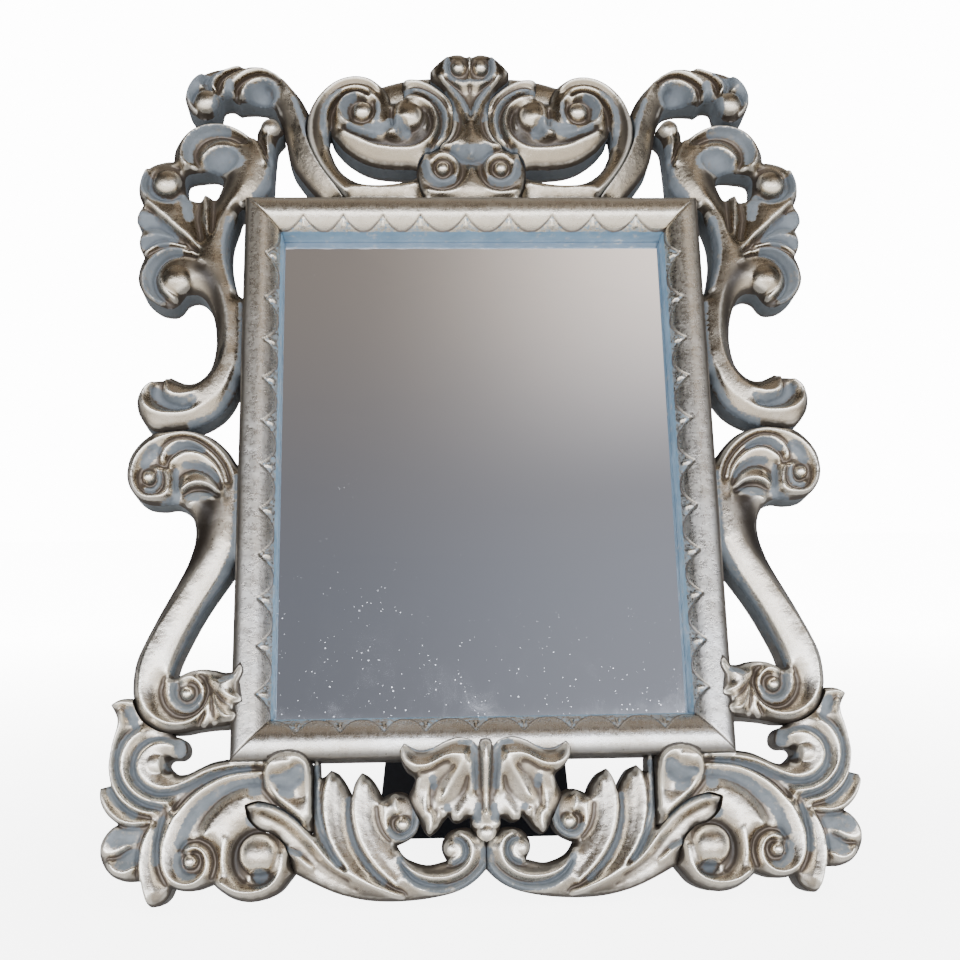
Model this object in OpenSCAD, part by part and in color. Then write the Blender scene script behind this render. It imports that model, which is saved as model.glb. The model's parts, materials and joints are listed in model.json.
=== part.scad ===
// Countertop mirror: a mitred moulding round a mirror glass, carved scrolls on all four sides,
// and a folding strut behind. The frame is drawn flat, x to the right, y up, z out of the front,
// with its origin at the centre of the sight opening; stand() then leans it back on its strut.

/* [Mirror] */
// Width of the sight opening
sight_w = 194; // [160:1:230]
// Height of the sight opening
sight_h = 244; // [205:1:290]
// Thickness of the mirror glass
glass_t = 4; // [3:0.5:5]
// Thickness of the backing card
card_t = 2; // [1:0.5:3]
// Width of the glass hidden behind the moulding, each side
glass_lap = 4.5; // [3:0.5:5]

/* [Moulding] */
// Width of the moulding
mould_w = 19; // [17:0.5:22]
// Depth from the sight edge to the glass
lip_depth = 7; // [6:0.5:9]
// Height of the moulding's crown above the sight edge
crown_h = 10; // [7:0.5:11]
// Width of the rebate behind the sight edge
rebate_w = 6; // [5.5:0.5:7]

/* [Carving] */
// Height at which the carving's side walls end, below the sight edge
wall_drop = 3; // [1:0.5:6]
// Height of the carved ridges above the sight edge
ridge_h = 4; // [2:0.5:6]
// Glue line between neighbouring carvings
glue = 0.05; // [0.02:0.01:0.1]

/* [Stand] */
// Angle by which the frame leans back
lean = 15; // [12:1:18]
// Angle between the back board and the open strut
open_angle = 25; // [22:1:28]
// Height of the strut hinge above the centre of the mirror
hinge_y = 40; // [30:1:50]
// Half width of the strut at its hinge
strut_top_half = 26; // [24:1:30]
// Half width of the strut at its foot
strut_foot_half = 53.5; // [45:0.5:60]
// Thickness of the strut
strut_t = 5; // [4:0.5:6]

/* [Hardware] */
// Radius of the hinge pin
pin_r = 1; // [0.8:0.1:1.2]
// Distance of the hinge pin behind the back board
pin_back = 2; // [2:0.1:2.4]
// Radius of a hinge knuckle
knuckle_r = 1.85; // [1.75:0.05:1.9]
// Width of the hinge
hinge_w = 40; // [34:1:44]
// Length of a turn button from its screw to its tip
button_reach = 14; // [12:0.5:16]
// Half width of a turn button
button_half = 4.5; // [4:0.5:5]

/* [Hidden] */
$fn = 48;

// The carved outlines are drawn for this sight opening and stretched to fit another
drawn_w = 194;
drawn_h = 244;
stretch = [sight_w / drawn_w, sight_h / drawn_h];

board_t = 5;
back_z = -lip_depth - glass_t - card_t - board_t;
half_w = sight_w / 2 + mould_w;
half_h = sight_h / 2 + mould_w;
wall_z = -wall_drop;
shoulder_z = wall_z + (ridge_h + wall_drop) * 0.55;
shoulder_in = 1.6;
ledge_z = -9;
lap_z = crown_h + 1;
ridge_in = 2.6;
curve_steps = 3;
silver = [0.66, 0.63, 0.57];

// Lowest point of the carving, and how much of its back edge is planed off to stand on
base_y = -203.3 * stretch.y;
planed = 1.2;
floor_h = -base_y * cos(lean) - back_z * sin(lean) - planed;

// Hinge axis behind the board, and the strut's swing about it
pin_z = back_z - pin_back;
pin_h = floor_h + hinge_y * cos(lean) + pin_z * sin(lean);
strut_lean = open_angle - lean;
strut_len = pin_h / cos(strut_lean) + 4;
leaf_t = 1;
leaf_len = 22;
knuckle_gap = 0.3;
knuckles = 5;
knuckle_w = (hinge_w - (knuckles - 1) * knuckle_gap) / knuckles;
run_gap = 0.05;

// The front of the lower balls and the back of the strut's foot are the deepest points;
// the origin is midway between them
ball_r = 9;
ball_y = -182;
front_y = ball_y * stretch.y * sin(lean) - ball_r;
foot_y = hinge_y * sin(lean) - pin_z * cos(lean) + pin_h * tan(strut_lean)
    + (pin_back + strut_t) / cos(strut_lean);
depth_shift = -(front_y + foot_y) / 2;

// Point at t between b and c on the smooth curve through a, b, c and d
function between(a, b, c, d, t) = (2 * b + (c - a) * t + (2 * a - 5 * b + 4 * c - d) * t * t
    + (3 * b - a - 3 * c + d) * t * t * t) / 2;

// Closed smooth curve through the points; a point written twice is a sharp corner
function loop(p) = let (n = len(p))
    [for (i = [0 : n - 1]) if (p[i] != p[(i + 1) % n]) for (s = [0 : curve_steps - 1])
        between(p[(i + n - 1) % n], p[i], p[(i + 1) % n], p[(i + 2) % n], s / curve_steps)];

// Open smooth curve through [x, y, half width] points
function spine(p) = let (n = len(p)) concat(
    [for (i = [0 : n - 2]) for (s = [0 : curve_steps - 1])
        between(p[max(i - 1, 0)], p[i], p[i + 1], p[min(i + 2, n - 1)], s / curve_steps)],
    [p[n - 1]]);

// Outline of a ribbon whose half width is the third number of each point
function ribbon(p) = let (q = spine(p), n = len(q),
    side = [for (i = [0 : n - 1]) let (d = q[min(i + 1, n - 1)] - q[max(i - 1, 0)], l = norm([d.x, d.y]))
        [-d.y, d.x] / l * q[i].z])
    concat([for (i = [0 : n - 1]) [q[i].x, q[i].y] + side[i]],
        [for (i = [n - 1 : -1 : 0]) [q[i].x, q[i].y] - side[i]]);

// A shape symmetric about x = 0 from its left half, listed from the top down
function both(p) = concat(p, [for (i = [len(p) - 1 : -1 : 0]) if (p[i].x != 0) [-p[i].x, p[i].y]]);

module stand() translate([0, depth_shift, floor_h]) rotate([90 - lean, 0, 0]) children();
module on_side(side) mirror([side > 0 ? 1 : 0, 0, 0]) children();
module layer(low, high) translate([0, 0, low]) linear_extrude(high - low) children();
module fit() scale([stretch.x, stretch.y, 1]) children();

/* ---------- outlines of the carvings: left half, listed in the order of the edge ---------- */

module crest_centre_outline() {
    polygon(loop(both([[0, 228], [-5, 230.5], [-11, 229.5], [-17, 225], [-21, 220], [-21, 220],
        [-20.5, 214.5], [-14, 208], [-10, 198], [-9.5, 187], [-12, 179], [-17, 173.5], [-17, 173.5],
        [-23, 170.5], [-27.5, 165], [-28.5, 158], [-27.5, 150], [-25.5, 145], [-25, 141], [-25, 141]])));
}

module crest_scroll_outline() {
    difference() {
        polygon(loop([[-65, 141], [-65, 141], [-70, 148], [-75, 155], [-80, 163], [-84.5, 173],
            [-86.5, 182], [-86, 190], [-84, 198], [-80, 205], [-74, 211], [-67, 214.5], [-60, 215.5],
            [-52, 214], [-46, 210], [-43, 205], [-41.5, 199.5], [-41.5, 199.5], [-38, 200.5], [-35, 204],
            [-36, 213.5], [-36, 213.5], [-30, 214.5], [-24, 212.5], [-18, 209], [-8, 200], [-6, 188],
            [-10, 176], [-20, 168], [-22, 150], [-20, 141], [-20, 141]]));
        // Crescent between the lower band and the swirl
        polygon(loop([[-74, 185], [-72, 180], [-66, 172.5], [-58, 166.5], [-50, 163.3], [-40, 162],
            [-32, 162], [-27.5, 160.5], [-29, 157], [-34, 155], [-42, 153.2], [-52, 152.6], [-60, 154.5],
            [-66, 158.5], [-70, 163.5], [-73, 171], [-74.7, 178]]));
    }
}

// Low ledge behind the scroll, up to the crest's centre
module crest_ledge_outline() {
    polygon(loop([[-52, 213], [-52, 213], [-43, 216], [-36, 218], [-29, 219.3], [-20.8, 220.1],
        [-20.8, 220.1], [-19, 205], [-19, 205], [-48, 202], [-48, 202]]));
}

module corner_scroll_outline() {
    polygon(loop([[-77, 141], [-77, 141], [-83, 148.5], [-88, 155], [-92.5, 162], [-95, 169],
        [-96.5, 176], [-98, 184], [-101, 192], [-104, 198], [-111, 200.5], [-119.5, 200.5], [-122, 200],
        [-126, 202.5], [-130.5, 201.5], [-132, 195.5], [-135.5, 191.5], [-140, 190.5], [-145, 193],
        [-148.5, 198], [-150, 204], [-148, 210], [-144, 215], [-138, 219], [-130, 221], [-120, 221.5],
        [-110, 220.5], [-102, 216.5], [-95, 210], [-89.5, 203], [-86, 196.5], [-86, 196.5], [-84, 190],
        [-82, 173], [-77, 163], [-72, 155], [-67, 148], [-62, 141], [-62, 141]]));
}

module upper_side_scroll_outline() {
    difference() {
        polygon(loop([[-105, 189], [-101, 187.5], [-98, 183], [-101.5, 178], [-102.5, 170], [-103, 160],
            [-103.5, 152], [-106, 146.5], [-110, 141], [-110, 141], [-112, 110], [-112, 70], [-112, 46],
            [-112, 46], [-117, 46], [-118.5, 40], [-121, 34], [-125, 28.5], [-130, 24.5], [-136, 21.5],
            [-143, 20], [-150, 19.3], [-157, 19], [-161, 21], [-164.5, 25.5], [-166.5, 30], [-167, 36],
            [-165, 41], [-161, 44.5], [-155, 45.5], [-151, 46.8], [-151, 46.8], [-144, 43.8],
            [-139.5, 44], [-135, 46.8], [-131.5, 52], [-129.7, 60], [-129.5, 68], [-130.5, 76],
            [-133, 84], [-136.5, 89.5], [-141, 91.5], [-145.5, 90], [-148.5, 86], [-152, 84],
            [-158, 84.8], [-163, 88], [-167, 92.5], [-169.5, 99], [-169, 106], [-167, 112], [-167, 112],
            [-169.5, 117], [-170, 122], [-168.5, 127.5], [-168.5, 127.5], [-171.5, 131], [-171.5, 136],
            [-169, 141], [-169, 141], [-171.3, 147], [-171.3, 154], [-169, 160], [-164.5, 164],
            [-158, 166], [-154.5, 166], [-154.5, 166], [-154, 172], [-151.5, 178], [-147, 183],
            [-140, 186], [-131, 187], [-122, 184.5], [-115, 180], [-112, 178.5], [-112, 178.5],
            [-111, 185]]));
        // Gap beside the moulding
        polygon(loop([[-110, 138], [-110, 138], [-118.5, 137.5], [-121, 131], [-123.5, 122], [-124, 113],
            [-123, 105], [-121, 97], [-118.5, 90.5], [-110, 87], [-110, 87]]));
        // Opening above the inner leaf
        polygon(loop([[-147.5, 158], [-140, 160], [-132.5, 160], [-128.5, 155], [-130, 148.5],
            [-132.5, 144], [-137, 146.5], [-140, 143], [-146, 145], [-148, 151]]));
    }
}

module lower_side_scroll_outline() {
    polygon(loop([[-157, 18.4], [-150, 18.9], [-141, 18.9], [-133, 17], [-127, 13.5], [-121, 7.5],
        [-117, 1.5], [-112, -3], [-112, -3], [-112, -44], [-112, -44], [-116.5, -47.5], [-119, -53],
        [-123, -59], [-128, -66.5], [-133, -75], [-138, -85], [-142, -94], [-144, -101.5],
        [-144, -101.5], [-140, -100.5], [-135, -98.3], [-129, -97.8], [-124, -98.8], [-119, -100.3],
        [-115, -99.8], [-111.5, -96.5], [-111.5, -96.5], [-110, -101], [-112, -105.5], [-112, -105.5],
        [-111, -110], [-110.3, -114.5], [-110.3, -114.5], [-114, -117], [-112.8, -120],
        [-114, -123.5], [-119, -124.7], [-125, -125], [-132, -125.8], [-139, -127], [-147, -126.7],
        [-154, -123.7], [-159, -118.5], [-161.7, -111], [-162.3, -103], [-161.2, -94], [-158.2, -86],
        [-154, -77], [-149, -67], [-144, -57.5], [-139.5, -48], [-136.5, -38], [-136.2, -30],
        [-138.5, -23.5], [-142.5, -19.5], [-147, -18], [-153, -18.7], [-160, -17.7], [-165, -14.3],
        [-168.7, -9], [-170.2, -3], [-169.3, 5], [-165.8, 11.5], [-161.3, 16]]));
}

module base_corner_outline() {
    polygon(loop([[-172, -113.5], [-172, -113.5], [-168, -111.2], [-163, -110.8], [-159, -112],
        [-150, -120], [-143, -127.8], [-139, -129.3], [-136.6, -132], [-136.3, -136], [-139, -138.6],
        [-144, -139], [-145.3, -141.7], [-141, -145.3], [-136, -145.5], [-130, -142.8],
        [-124, -140.3], [-116, -139], [-116, -139], [-101, -139], [-101, -139], [-98.5, -139],
        [-94, -137], [-88, -136.3], [-82.5, -138], [-79.5, -141.5], [-78.4, -147], [-78.4, -147],
        [-78.4, -172], [-78.4, -172], [-84, -176], [-88.5, -184], [-86.5, -190.3], [-86.5, -190.3],
        [-89, -193.5], [-93, -198], [-99, -201], [-106, -202.1], [-113, -200.7], [-119, -197.2],
        [-122.7, -194], [-122.7, -194], [-126, -195.3], [-131, -196.8], [-136, -196.7], [-140.8, -195.5],
        [-140.8, -195.5], [-142.5, -199.5], [-145.5, -202.3], [-149.5, -203.3], [-152.5, -200],
        [-154.5, -192.2], [-154.5, -192.2], [-161, -192.2], [-167, -190], [-171, -186], [-173.3, -180.5],
        [-173, -175], [-170, -170], [-166, -167.2], [-166, -167.2], [-171, -163], [-174.3, -157.5],
        [-175, -151.3], [-175, -151.3], [-170.2, -150], [-170.2, -150], [-171.6, -142], [-171, -135],
        [-169.7, -128], [-168.7, -120.5]]));
}

module base_leaf_outline() {
    polygon(loop([[-78.4, -139], [-78.4, -139], [-76, -139], [-76, -139], [-75.5, -148.5],
        [-75.5, -148.5], [-73, -147.5], [-70.5, -145], [-70.5, -145], [-66.5, -147], [-62.8, -152.5],
        [-61, -156.5], [-61, -156.5], [-59.5, -151], [-56.3, -146.3], [-56.3, -146.3], [-52.5, -148.5],
        [-49, -153], [-47, -157.8], [-47, -157.8], [-44, -156.2], [-40, -155.2], [-36, -156],
        [-32.8, -159], [-30.8, -163], [-30, -168], [-31.5, -173], [-35, -176.5], [-40.5, -179],
        [-40.5, -179], [-37.5, -183.5], [-32.5, -186.3], [-26, -187.7], [-18, -186], [-18, -186],
        [-20, -181.5], [-19.5, -177], [-16.5, -173.3], [-12, -171.8], [-7.5, -172], [-4, -174.5], [0, -176],
        [0, -176], [0, -190], [0, -190], [-4, -194], [-9, -197.5], [-15, -200], [-22, -201.6],
        [-31, -202.8], [-42, -203.3], [-54, -202.5], [-66, -199.7], [-76, -195.6], [-86.5, -190.3],
        [-86.5, -190.3], [-88.7, -184], [-91, -178], [-96.5, -173], [-103, -170.8], [-107.5, -166],
        [-108.8, -160], [-108.8, -160], [-103, -158.3], [-96.5, -159.8], [-91, -162.5], [-85.5, -166.5],
        [-81.5, -171], [-78.4, -173.5], [-78.4, -173.5]]));
}

module centre_leaf_outline() {
    polygon(loop(both([[0, -132.8], [-2.4, -133.5], [-3.3, -136.8], [-3.3, -136.8], [-6, -133.8],
        [-10, -132.5], [-14, -132.5], [-19, -134.2], [-24, -136.8], [-29, -138], [-33, -136.8],
        [-36.8, -134.5], [-36.8, -134.5], [-38.8, -138], [-38, -142], [-35.5, -146], [-32, -149],
        [-33, -153], [-35, -157.5], [-33, -163], [-30, -169], [-27.7, -173.5], [-25.7, -175.3],
        [-25.7, -175.3], [-22.3, -173], [-19, -168.7], [-16.8, -166.3], [-16.8, -166.3], [-14.8, -169],
        [-12, -169.6], [-8.5, -167.8], [-6.7, -167], [-6.7, -167], [-6.5, -171.5], [-4, -176.3],
        [0, -178.4]])));
}

/* ---------- ridges and balls that stand on the carvings ---------- */

// Strokes along the crests of the forms, as [x, y, half width] points
crest_centre_ridges = [
    [[-18, 214, 1.5], [-9, 207, 2], [-4, 198, 2], [0, 187, 1]],
    [[0, 187, 2], [-3, 180, 5], [-2, 172, 7], [0, 166, 3]],
    [[-20, 152, 1.5], [-10, 150, 2.5], [0, 148, 3]]];
crest_scroll_ridges = [
    [[-66, 144, 1.5], [-74, 155, 2], [-80, 167, 2.2], [-82, 182, 2.5], [-80, 196, 2.5], [-72, 207, 2.5],
        [-60, 210, 2.5], [-50, 205, 2]],
    [[-68, 191, 1.5], [-62, 182, 2.5], [-53, 175, 3], [-40, 169.5, 3.2], [-28, 171, 3], [-19, 178, 2.5],
        [-14, 188, 2], [-17, 198, 1.5]],
    [[-33, 210, 1.5], [-22, 206, 2.5], [-14, 198, 2]],
    [[-60, 147.5, 1.5], [-45, 147, 2], [-28, 147, 2]]];
corner_scroll_ridges = [
    [[-74, 146, 1.5], [-84, 158, 2.5], [-90, 172, 3], [-93, 188, 3], [-98, 202, 3], [-108, 212, 3],
        [-118, 208, 2]],
    [[-146, 202, 1.5], [-143, 210, 2], [-134, 215, 2.5], [-124, 216, 2]],
    [[-127, 206, 1.2], [-125, 211, 1.8], [-119, 214.5, 1.5]]];
upper_side_ridges = [
    [[-149, 164, 1.5], [-149, 173, 2], [-142, 181, 2.2], [-131, 182.5, 2.2], [-119, 178, 2.2],
        [-113, 168, 2.5], [-114, 152, 2.8], [-121, 138, 2.8], [-128, 124, 2.6], [-129, 112, 2.2]],
    [[-105, 184, 2], [-106, 172, 1.5], [-107, 158, 1.5], [-110, 148, 1]],
    [[-164, 141, 1.2], [-155, 131, 2], [-144, 121, 2], [-136, 112, 1.5]],
    [[-152, 88, 1.5], [-156, 98, 3], [-148, 104, 3.5], [-137, 101, 3], [-127, 91, 2.5],
        [-122, 76, 2.2], [-122, 60, 2.2], [-128, 44, 2.2], [-139, 34, 2], [-152, 29, 1.8],
        [-162, 34, 1.5]]];
lower_side_ridges = [
    [[-165, -8, 1.5], [-164, 4, 2], [-155, 13, 2.2], [-142, 15, 2.2], [-129, 9, 2], [-121, -3, 2],
        [-119, -20, 2], [-121, -38, 2.4], [-130, -53, 3], [-140, -70, 3.5], [-149, -88, 3.5],
        [-153, -104, 3.2], [-149, -117, 2.6], [-138, -121.5, 2], [-128, -118, 1.5]],
    [[-146, -6, 1.5], [-139, 1, 2.5], [-129, -1, 2], [-123, -10, 1.5]],
    [[-124, -104, 1.2], [-118, -110, 1.5], [-115, -119, 1.2]]];
base_corner_ridges = [
    [[-168, -117, 1], [-166, -130, 1.6], [-165, -144, 1.8], [-158, -156, 1.8], [-146, -159, 1.5]],
    [[-158, -130, 1.3], [-160, -141, 1.8], [-153, -151, 2], [-142, -153, 2], [-128, -147, 1.8],
        [-112, -143.5, 1.2]],
    [[-104, -148, 1.2], [-118, -150.5, 1.8], [-130, -158, 2.2], [-138, -170, 2.4], [-141, -182, 2.2],
        [-135, -191, 1.8], [-126, -190, 1.5]],
    [[-104, -157, 3], [-114, -162, 7], [-118, -174, 7], [-117, -188, 3]],
    [[-171, -154, 1], [-165, -161, 1.8], [-154, -165, 1.2]],
    [[-149, -175, 1.5], [-149, -188, 2.5], [-147, -198, 1.5]],
    [[-168, -175, 1.5], [-161, -178, 2.5], [-160, -187, 1.5]],
    [[-96, -144, 2], [-88, -150, 4], [-83, -160, 2]]];
base_leaf_ridges = [
    [[-104, -162, 1.2], [-92, -169, 2.5], [-80, -181, 2.5], [-64, -193, 2], [-44, -200, 1.2]],
    [[-70, -151, 1.5], [-68, -166, 3], [-63, -180, 3], [-52, -191, 2.2], [-38, -198, 1.2]],
    [[-56, -152, 1.5], [-55, -166, 3], [-49, -178, 3], [-41, -188, 2.4], [-31, -195, 1.4]],
    [[-35, -188, 1.2], [-26, -193, 1.6], [-14, -191.5, 1.8], [-7.5, -184, 1.6], [-9, -176.5, 1.2]]];
centre_leaf_ridges = [
    [[-34, -139, 1.2], [-29, -143, 1.6], [-20, -139, 2], [-11, -137, 2.5], [-8, -148, 3.5],
        [-10, -162, 2]],
    [[-17, -148, 1.5], [-20, -155, 2.5], [-24, -164, 2.2], [-25.5, -172, 1]],
    [[0, -136, 1.6], [0, -150, 1.8], [0, -164, 2.2]]];

module strokes(list) for (s = list) polygon(ribbon(s));

// Boards of one carving: full outline, then a set-back shoulder, then the ridges
module carved(ridges, top = ridge_h) fit() {
    layer(back_z, wall_z) children();
    layer(wall_z, shoulder_z) offset(delta = -shoulder_in) children();
    layer(shoulder_z, top) intersection() {
        strokes(ridges);
        offset(delta = -ridge_in) children();
    }
}

// Balls at the eyes of the volutes, as [x, y, radius, height of the centre]
module balls(list) for (b = list) translate([b[0] * stretch.x, b[1] * stretch.y, b[3]]) sphere(b[2]);

/* ---------- the carvings ---------- */

module crest_centre() color(silver) stand() difference() {
    union() {
        carved(crest_centre_ridges) crest_centre_outline();
        for (side = [-1, 1]) balls([[side * 5.5, 221.5, 3, 1.5], [side * 15.5, 161, 4.5, 1.5]]);
    }
    moulding_block();
}

module crest_scroll() color(silver) difference() {
    union() {
        carved(crest_scroll_ridges) difference() {
            crest_scroll_outline();
            offset(delta = glue) crest_centre_outline();
        }
        fit() layer(back_z, ledge_z) difference() {
            crest_ledge_outline();
            offset(delta = glue) crest_centre_outline();
        }
        balls([[-57, 194, 5, 1], [-30, 192, 8, -1]]);
    }
    moulding_block();
}

module corner_scroll() color(silver) difference() {
    union() {
        carved(corner_scroll_ridges) difference() {
            corner_scroll_outline();
            offset(delta = glue) crest_scroll_outline();
        }
        balls([[-138.5, 199, 6, 0]]);
    }
    moulding_block();
}

module upper_side_scroll() color(silver) difference() {
    union() {
        carved(upper_side_ridges) upper_side_scroll_outline();
        balls([[-156, 152, 6.5, 0]]);
    }
    moulding_block();
}

module lower_side_scroll() color(silver) difference() {
    union() {
        carved(lower_side_ridges) lower_side_scroll_outline();
        balls([[-158, -6, 5, 0.5], [-136, -109, 4.5, 1]]);
        // Leaf that laps over the moulding
        fit() layer(wall_z, lap_z) intersection() {
            offset(delta = -0.6) lower_side_scroll_outline();
            translate([-124, -126]) square([14, 30]);
        }
    }
    moulding_block();
}

module base_corner() color(silver) standing_edge() difference() {
    union() {
        carved(base_corner_ridges) difference() {
            base_corner_outline();
            offset(delta = glue) lower_side_scroll_outline();
            offset(delta = glue) base_leaf_outline();
        }
        balls([[-102, ball_y, ball_r, 0], [-131, -183, 4, 1], [-149, -141, 7, -2]]);
        // Bud that laps over the moulding
        fit() layer(wall_z, lap_z) intersection() {
            offset(delta = -0.6) base_corner_outline();
            translate([-98, -160]) square([19, 26]);
        }
    }
    moulding_block();
}

module base_leaf() color(silver) standing_edge() difference() {
    union() {
        carved(base_leaf_ridges) difference() {
            base_leaf_outline();
            offset(delta = glue) centre_leaf_outline();
            translate([-glue / 2, -200]) square([10, 40]);
        }
        balls([[-39, -168, 5, 1], [-13.5, -180, 4, 0]]);
    }
    moulding_block();
}

module apron_centre_leaf() color(silver) stand() difference() {
    union() {
        carved(centre_leaf_ridges, lap_z + 0.6) centre_leaf_outline();
        // The lobes lap over the front of the moulding
        fit() layer(wall_z, lap_z) offset(delta = -0.8) centre_leaf_outline();
        balls([[0, -171.5, 6.3, 0]]);
    }
    moulding_block();
}

// Places a left carving on either side, leaning as it stands
module sided(side) stand() on_side(side) children();

// Planes a leaning carving flat where it meets the table
module standing_edge() difference() {
    children();
    floor_cut();
}

// Everything below the table, in the flat frame of the carvings
module floor_cut() rotate([lean - 90, 0, 0])
    translate([-300, -300 - depth_shift, -floor_h - 40]) cube([600, 600, 40]);

/* ---------- moulding ---------- */

// Face of the moulding from the sight edge over the crown, as shares of its width and height
mould_face = [[0, 0], [0.05, 0.38], [0.13, 0.6], [0.24, 0.79], [0.38, 0.94], [0.53, 1], [0.66, 0.99],
    [0.79, 0.93], [0.88, 0.85], [0.93, 0.76], [0.965, 0.62], [1, 0.3]];

// Section of the moulding: x outward from the sight edge, y out of the front
mould_section = concat(
    [[0, -lip_depth]],
    [for (p = mould_face) [p.x * mould_w, p.y * crown_h]],
    [[mould_w, back_z], [rebate_w, back_z], [rebate_w, -lip_depth]]);

// Bar of moulding along the side at angle turn, cut to its mitres
module moulding_bar(turn, half_sight, half_length) rotate([0, 0, turn]) intersection() {
    translate([0, half_sight, 0]) rotate([90, 0, 90]) translate([0, 0, -half_length - 1])
        linear_extrude(2 * half_length + 2) polygon(mould_section);
    layer(back_z - 1, crown_h + 1) polygon([[-half_length, half_sight + mould_w],
        [-half_length + mould_w, half_sight], [half_length - mould_w, half_sight],
        [half_length, half_sight + mould_w]]);
}

// The four bars together, to cut a carving that meets or laps over them
module moulding_block() {
    for (turn = [0, 180]) moulding_bar(turn, sight_h / 2, half_w);
    for (turn = [90, 270]) moulding_bar(turn, sight_w / 2, half_h);
}

button_x = sight_w / 2 + (rebate_w + mould_w) / 2;
button_y = 70;
button_spots = [for (x = [-1, 1]) for (y = [-1, 1]) [x * button_x, y * button_y]];
screw_r = 1.6;
screw_depth = 7;
button_t = 1.2;
button_play = 0.1;
collar_t = 0.4;
collar_r = 2.8;
button_z = back_z - collar_t - button_play - button_t;
screw_len = screw_depth + back_z - button_z + button_play - 0.5;

module screw_holes() for (p = button_spots)
    translate([p.x, p.y, back_z - 1]) cylinder(h = screw_depth + 1, r = screw_r);

module moulding_side(turn) color(silver) stand() difference() {
    moulding_bar(turn, sight_w / 2, half_h);
    screw_holes();
}
module moulding_top() color(silver) stand() moulding_bar(0, sight_h / 2, half_w);
module moulding_bottom() color(silver) stand() moulding_bar(180, sight_h / 2, half_w);
module moulding_left() moulding_side(90);
module moulding_right() moulding_side(270);

// Two V-shaped nails across the back of each mitre
nail_t = 0.5;
nail_arm = 4;
nail_h = 8;
nail_at = [9.5, 15];
module corner_v_nails() color("dimgray") stand()
    for (x = [-1, 1]) for (y = [-1, 1]) for (out = nail_at)
        translate([x * (sight_w / 2 + out), y * (sight_h / 2 + out), back_z])
            rotate([0, 0, atan2(y, x)]) for (bend = [-1, 1])
                mirror([0, bend > 0 ? 0 : 1, 0]) rotate([0, 0, 125])
                    translate([-nail_t / 2, -nail_t / 2, 0]) cube([nail_arm, nail_t, nail_h]);

/* ---------- glass and backing ---------- */

pane_w = sight_w + 2 * glass_lap;
pane_h = sight_h + 2 * glass_lap + 1;
module pane(high, low) layer(low, high) square([pane_w, pane_h], center = true);
module mirror_glass() color("lightsteelblue") stand() pane(-lip_depth, -lip_depth - glass_t);
module backing_card() color("tan") stand() pane(-lip_depth - glass_t, back_z + board_t);
module back_board() color([0.12, 0.12, 0.13]) stand() difference() {
    pane(back_z + board_t, back_z);
    leaf_screw_spots(1) translate([0, 0, back_z - 1]) cylinder(h = leaf_screw_len + 1, r = leaf_screw_r);
}

/* ---------- turn buttons ---------- */

// Flat button with round ends, pointing inward over the back board
module turn_button(x, y) color("silver") stand()
    translate([x * button_x, y * button_y, button_z]) rotate([0, 0, x > 0 ? 180 : 0]) difference() {
        union() {
            cylinder(h = button_t, r = button_half);
            translate([0, -button_half, 0]) cube([button_reach - button_half, 2 * button_half, button_t]);
            translate([button_reach - button_half, 0, 0]) cylinder(h = button_t, r = button_half);
        }
        translate([0, 0, -1]) cylinder(h = button_t + 2, r = screw_r + run_gap);
    }
module turn_button_screws() color("gainsboro") stand() for (p = button_spots) translate([p.x, p.y, 0]) {
    translate([0, 0, button_z - button_play]) cylinder(h = screw_len, r = screw_r);
    translate([0, 0, back_z - collar_t]) cylinder(h = collar_t, r = collar_r);
    translate([0, 0, button_z - button_play]) dome(3.2, 1.4);
}

// Shallow dome that points back
module dome(r, h) intersection() {
    translate([0, 0, (r * r - h * h) / (2 * h)]) sphere((r * r + h * h) / (2 * h));
    translate([-r, -r, -h]) cube([2 * r, 2 * r, h]);
}

/* ---------- hinge and strut ---------- */

leaf_screw_r = 1.2;
leaf_screw_len = 3;
leaf_head_r = 2.4;
leaf_head_h = 1.1;
leaf_holes = [[-13, 8], [13, 8], [-13, 17], [13, 17]];
leaf_root = 0.5;
tab_inset = 0.4;

// Frame of the hinge pin, with the parts about it folded flat, and the open strut
module at_pin() stand() translate([0, hinge_y, pin_z]) children();
module at_strut() at_pin() rotate([open_angle, 0, 0]) children();
module leaf_screw_spots(way) for (p = leaf_holes) translate([p.x, hinge_y + way * p.y, 0]) children();

// Knuckles number first, first + 2, ... of the hinge, as plain rounds
module knuckle_rounds(first, r) for (i = [first : 2 : knuckles - 1])
    translate([-hinge_w / 2 + i * (knuckle_w + knuckle_gap), 0, 0])
        rotate([0, 90, 0]) cylinder(h = knuckle_w, r = r);

// A leaf: plate with four holes, joined to its knuckles; z is the plate's place
module hinge_leaf(first, z, bore) difference() {
    union() {
        knuckle_rounds(first, knuckle_r);
        for (i = [first : 2 : knuckles - 1])
            translate([-hinge_w / 2 + i * (knuckle_w + knuckle_gap), leaf_root, z])
                cube([knuckle_w, 3 - leaf_root, leaf_t]);
        translate([-hinge_w / 2, knuckle_r + 0.4, z]) cube([hinge_w, leaf_len - knuckle_r, leaf_t]);
    }
    translate([-hinge_w / 2 - 1, 0, 0]) rotate([0, 90, 0]) cylinder(h = hinge_w + 2, r = bore);
    for (p = leaf_holes) translate([p.x, p.y, z - 1]) cylinder(h = leaf_t + 2, r = leaf_screw_r);
}

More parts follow.
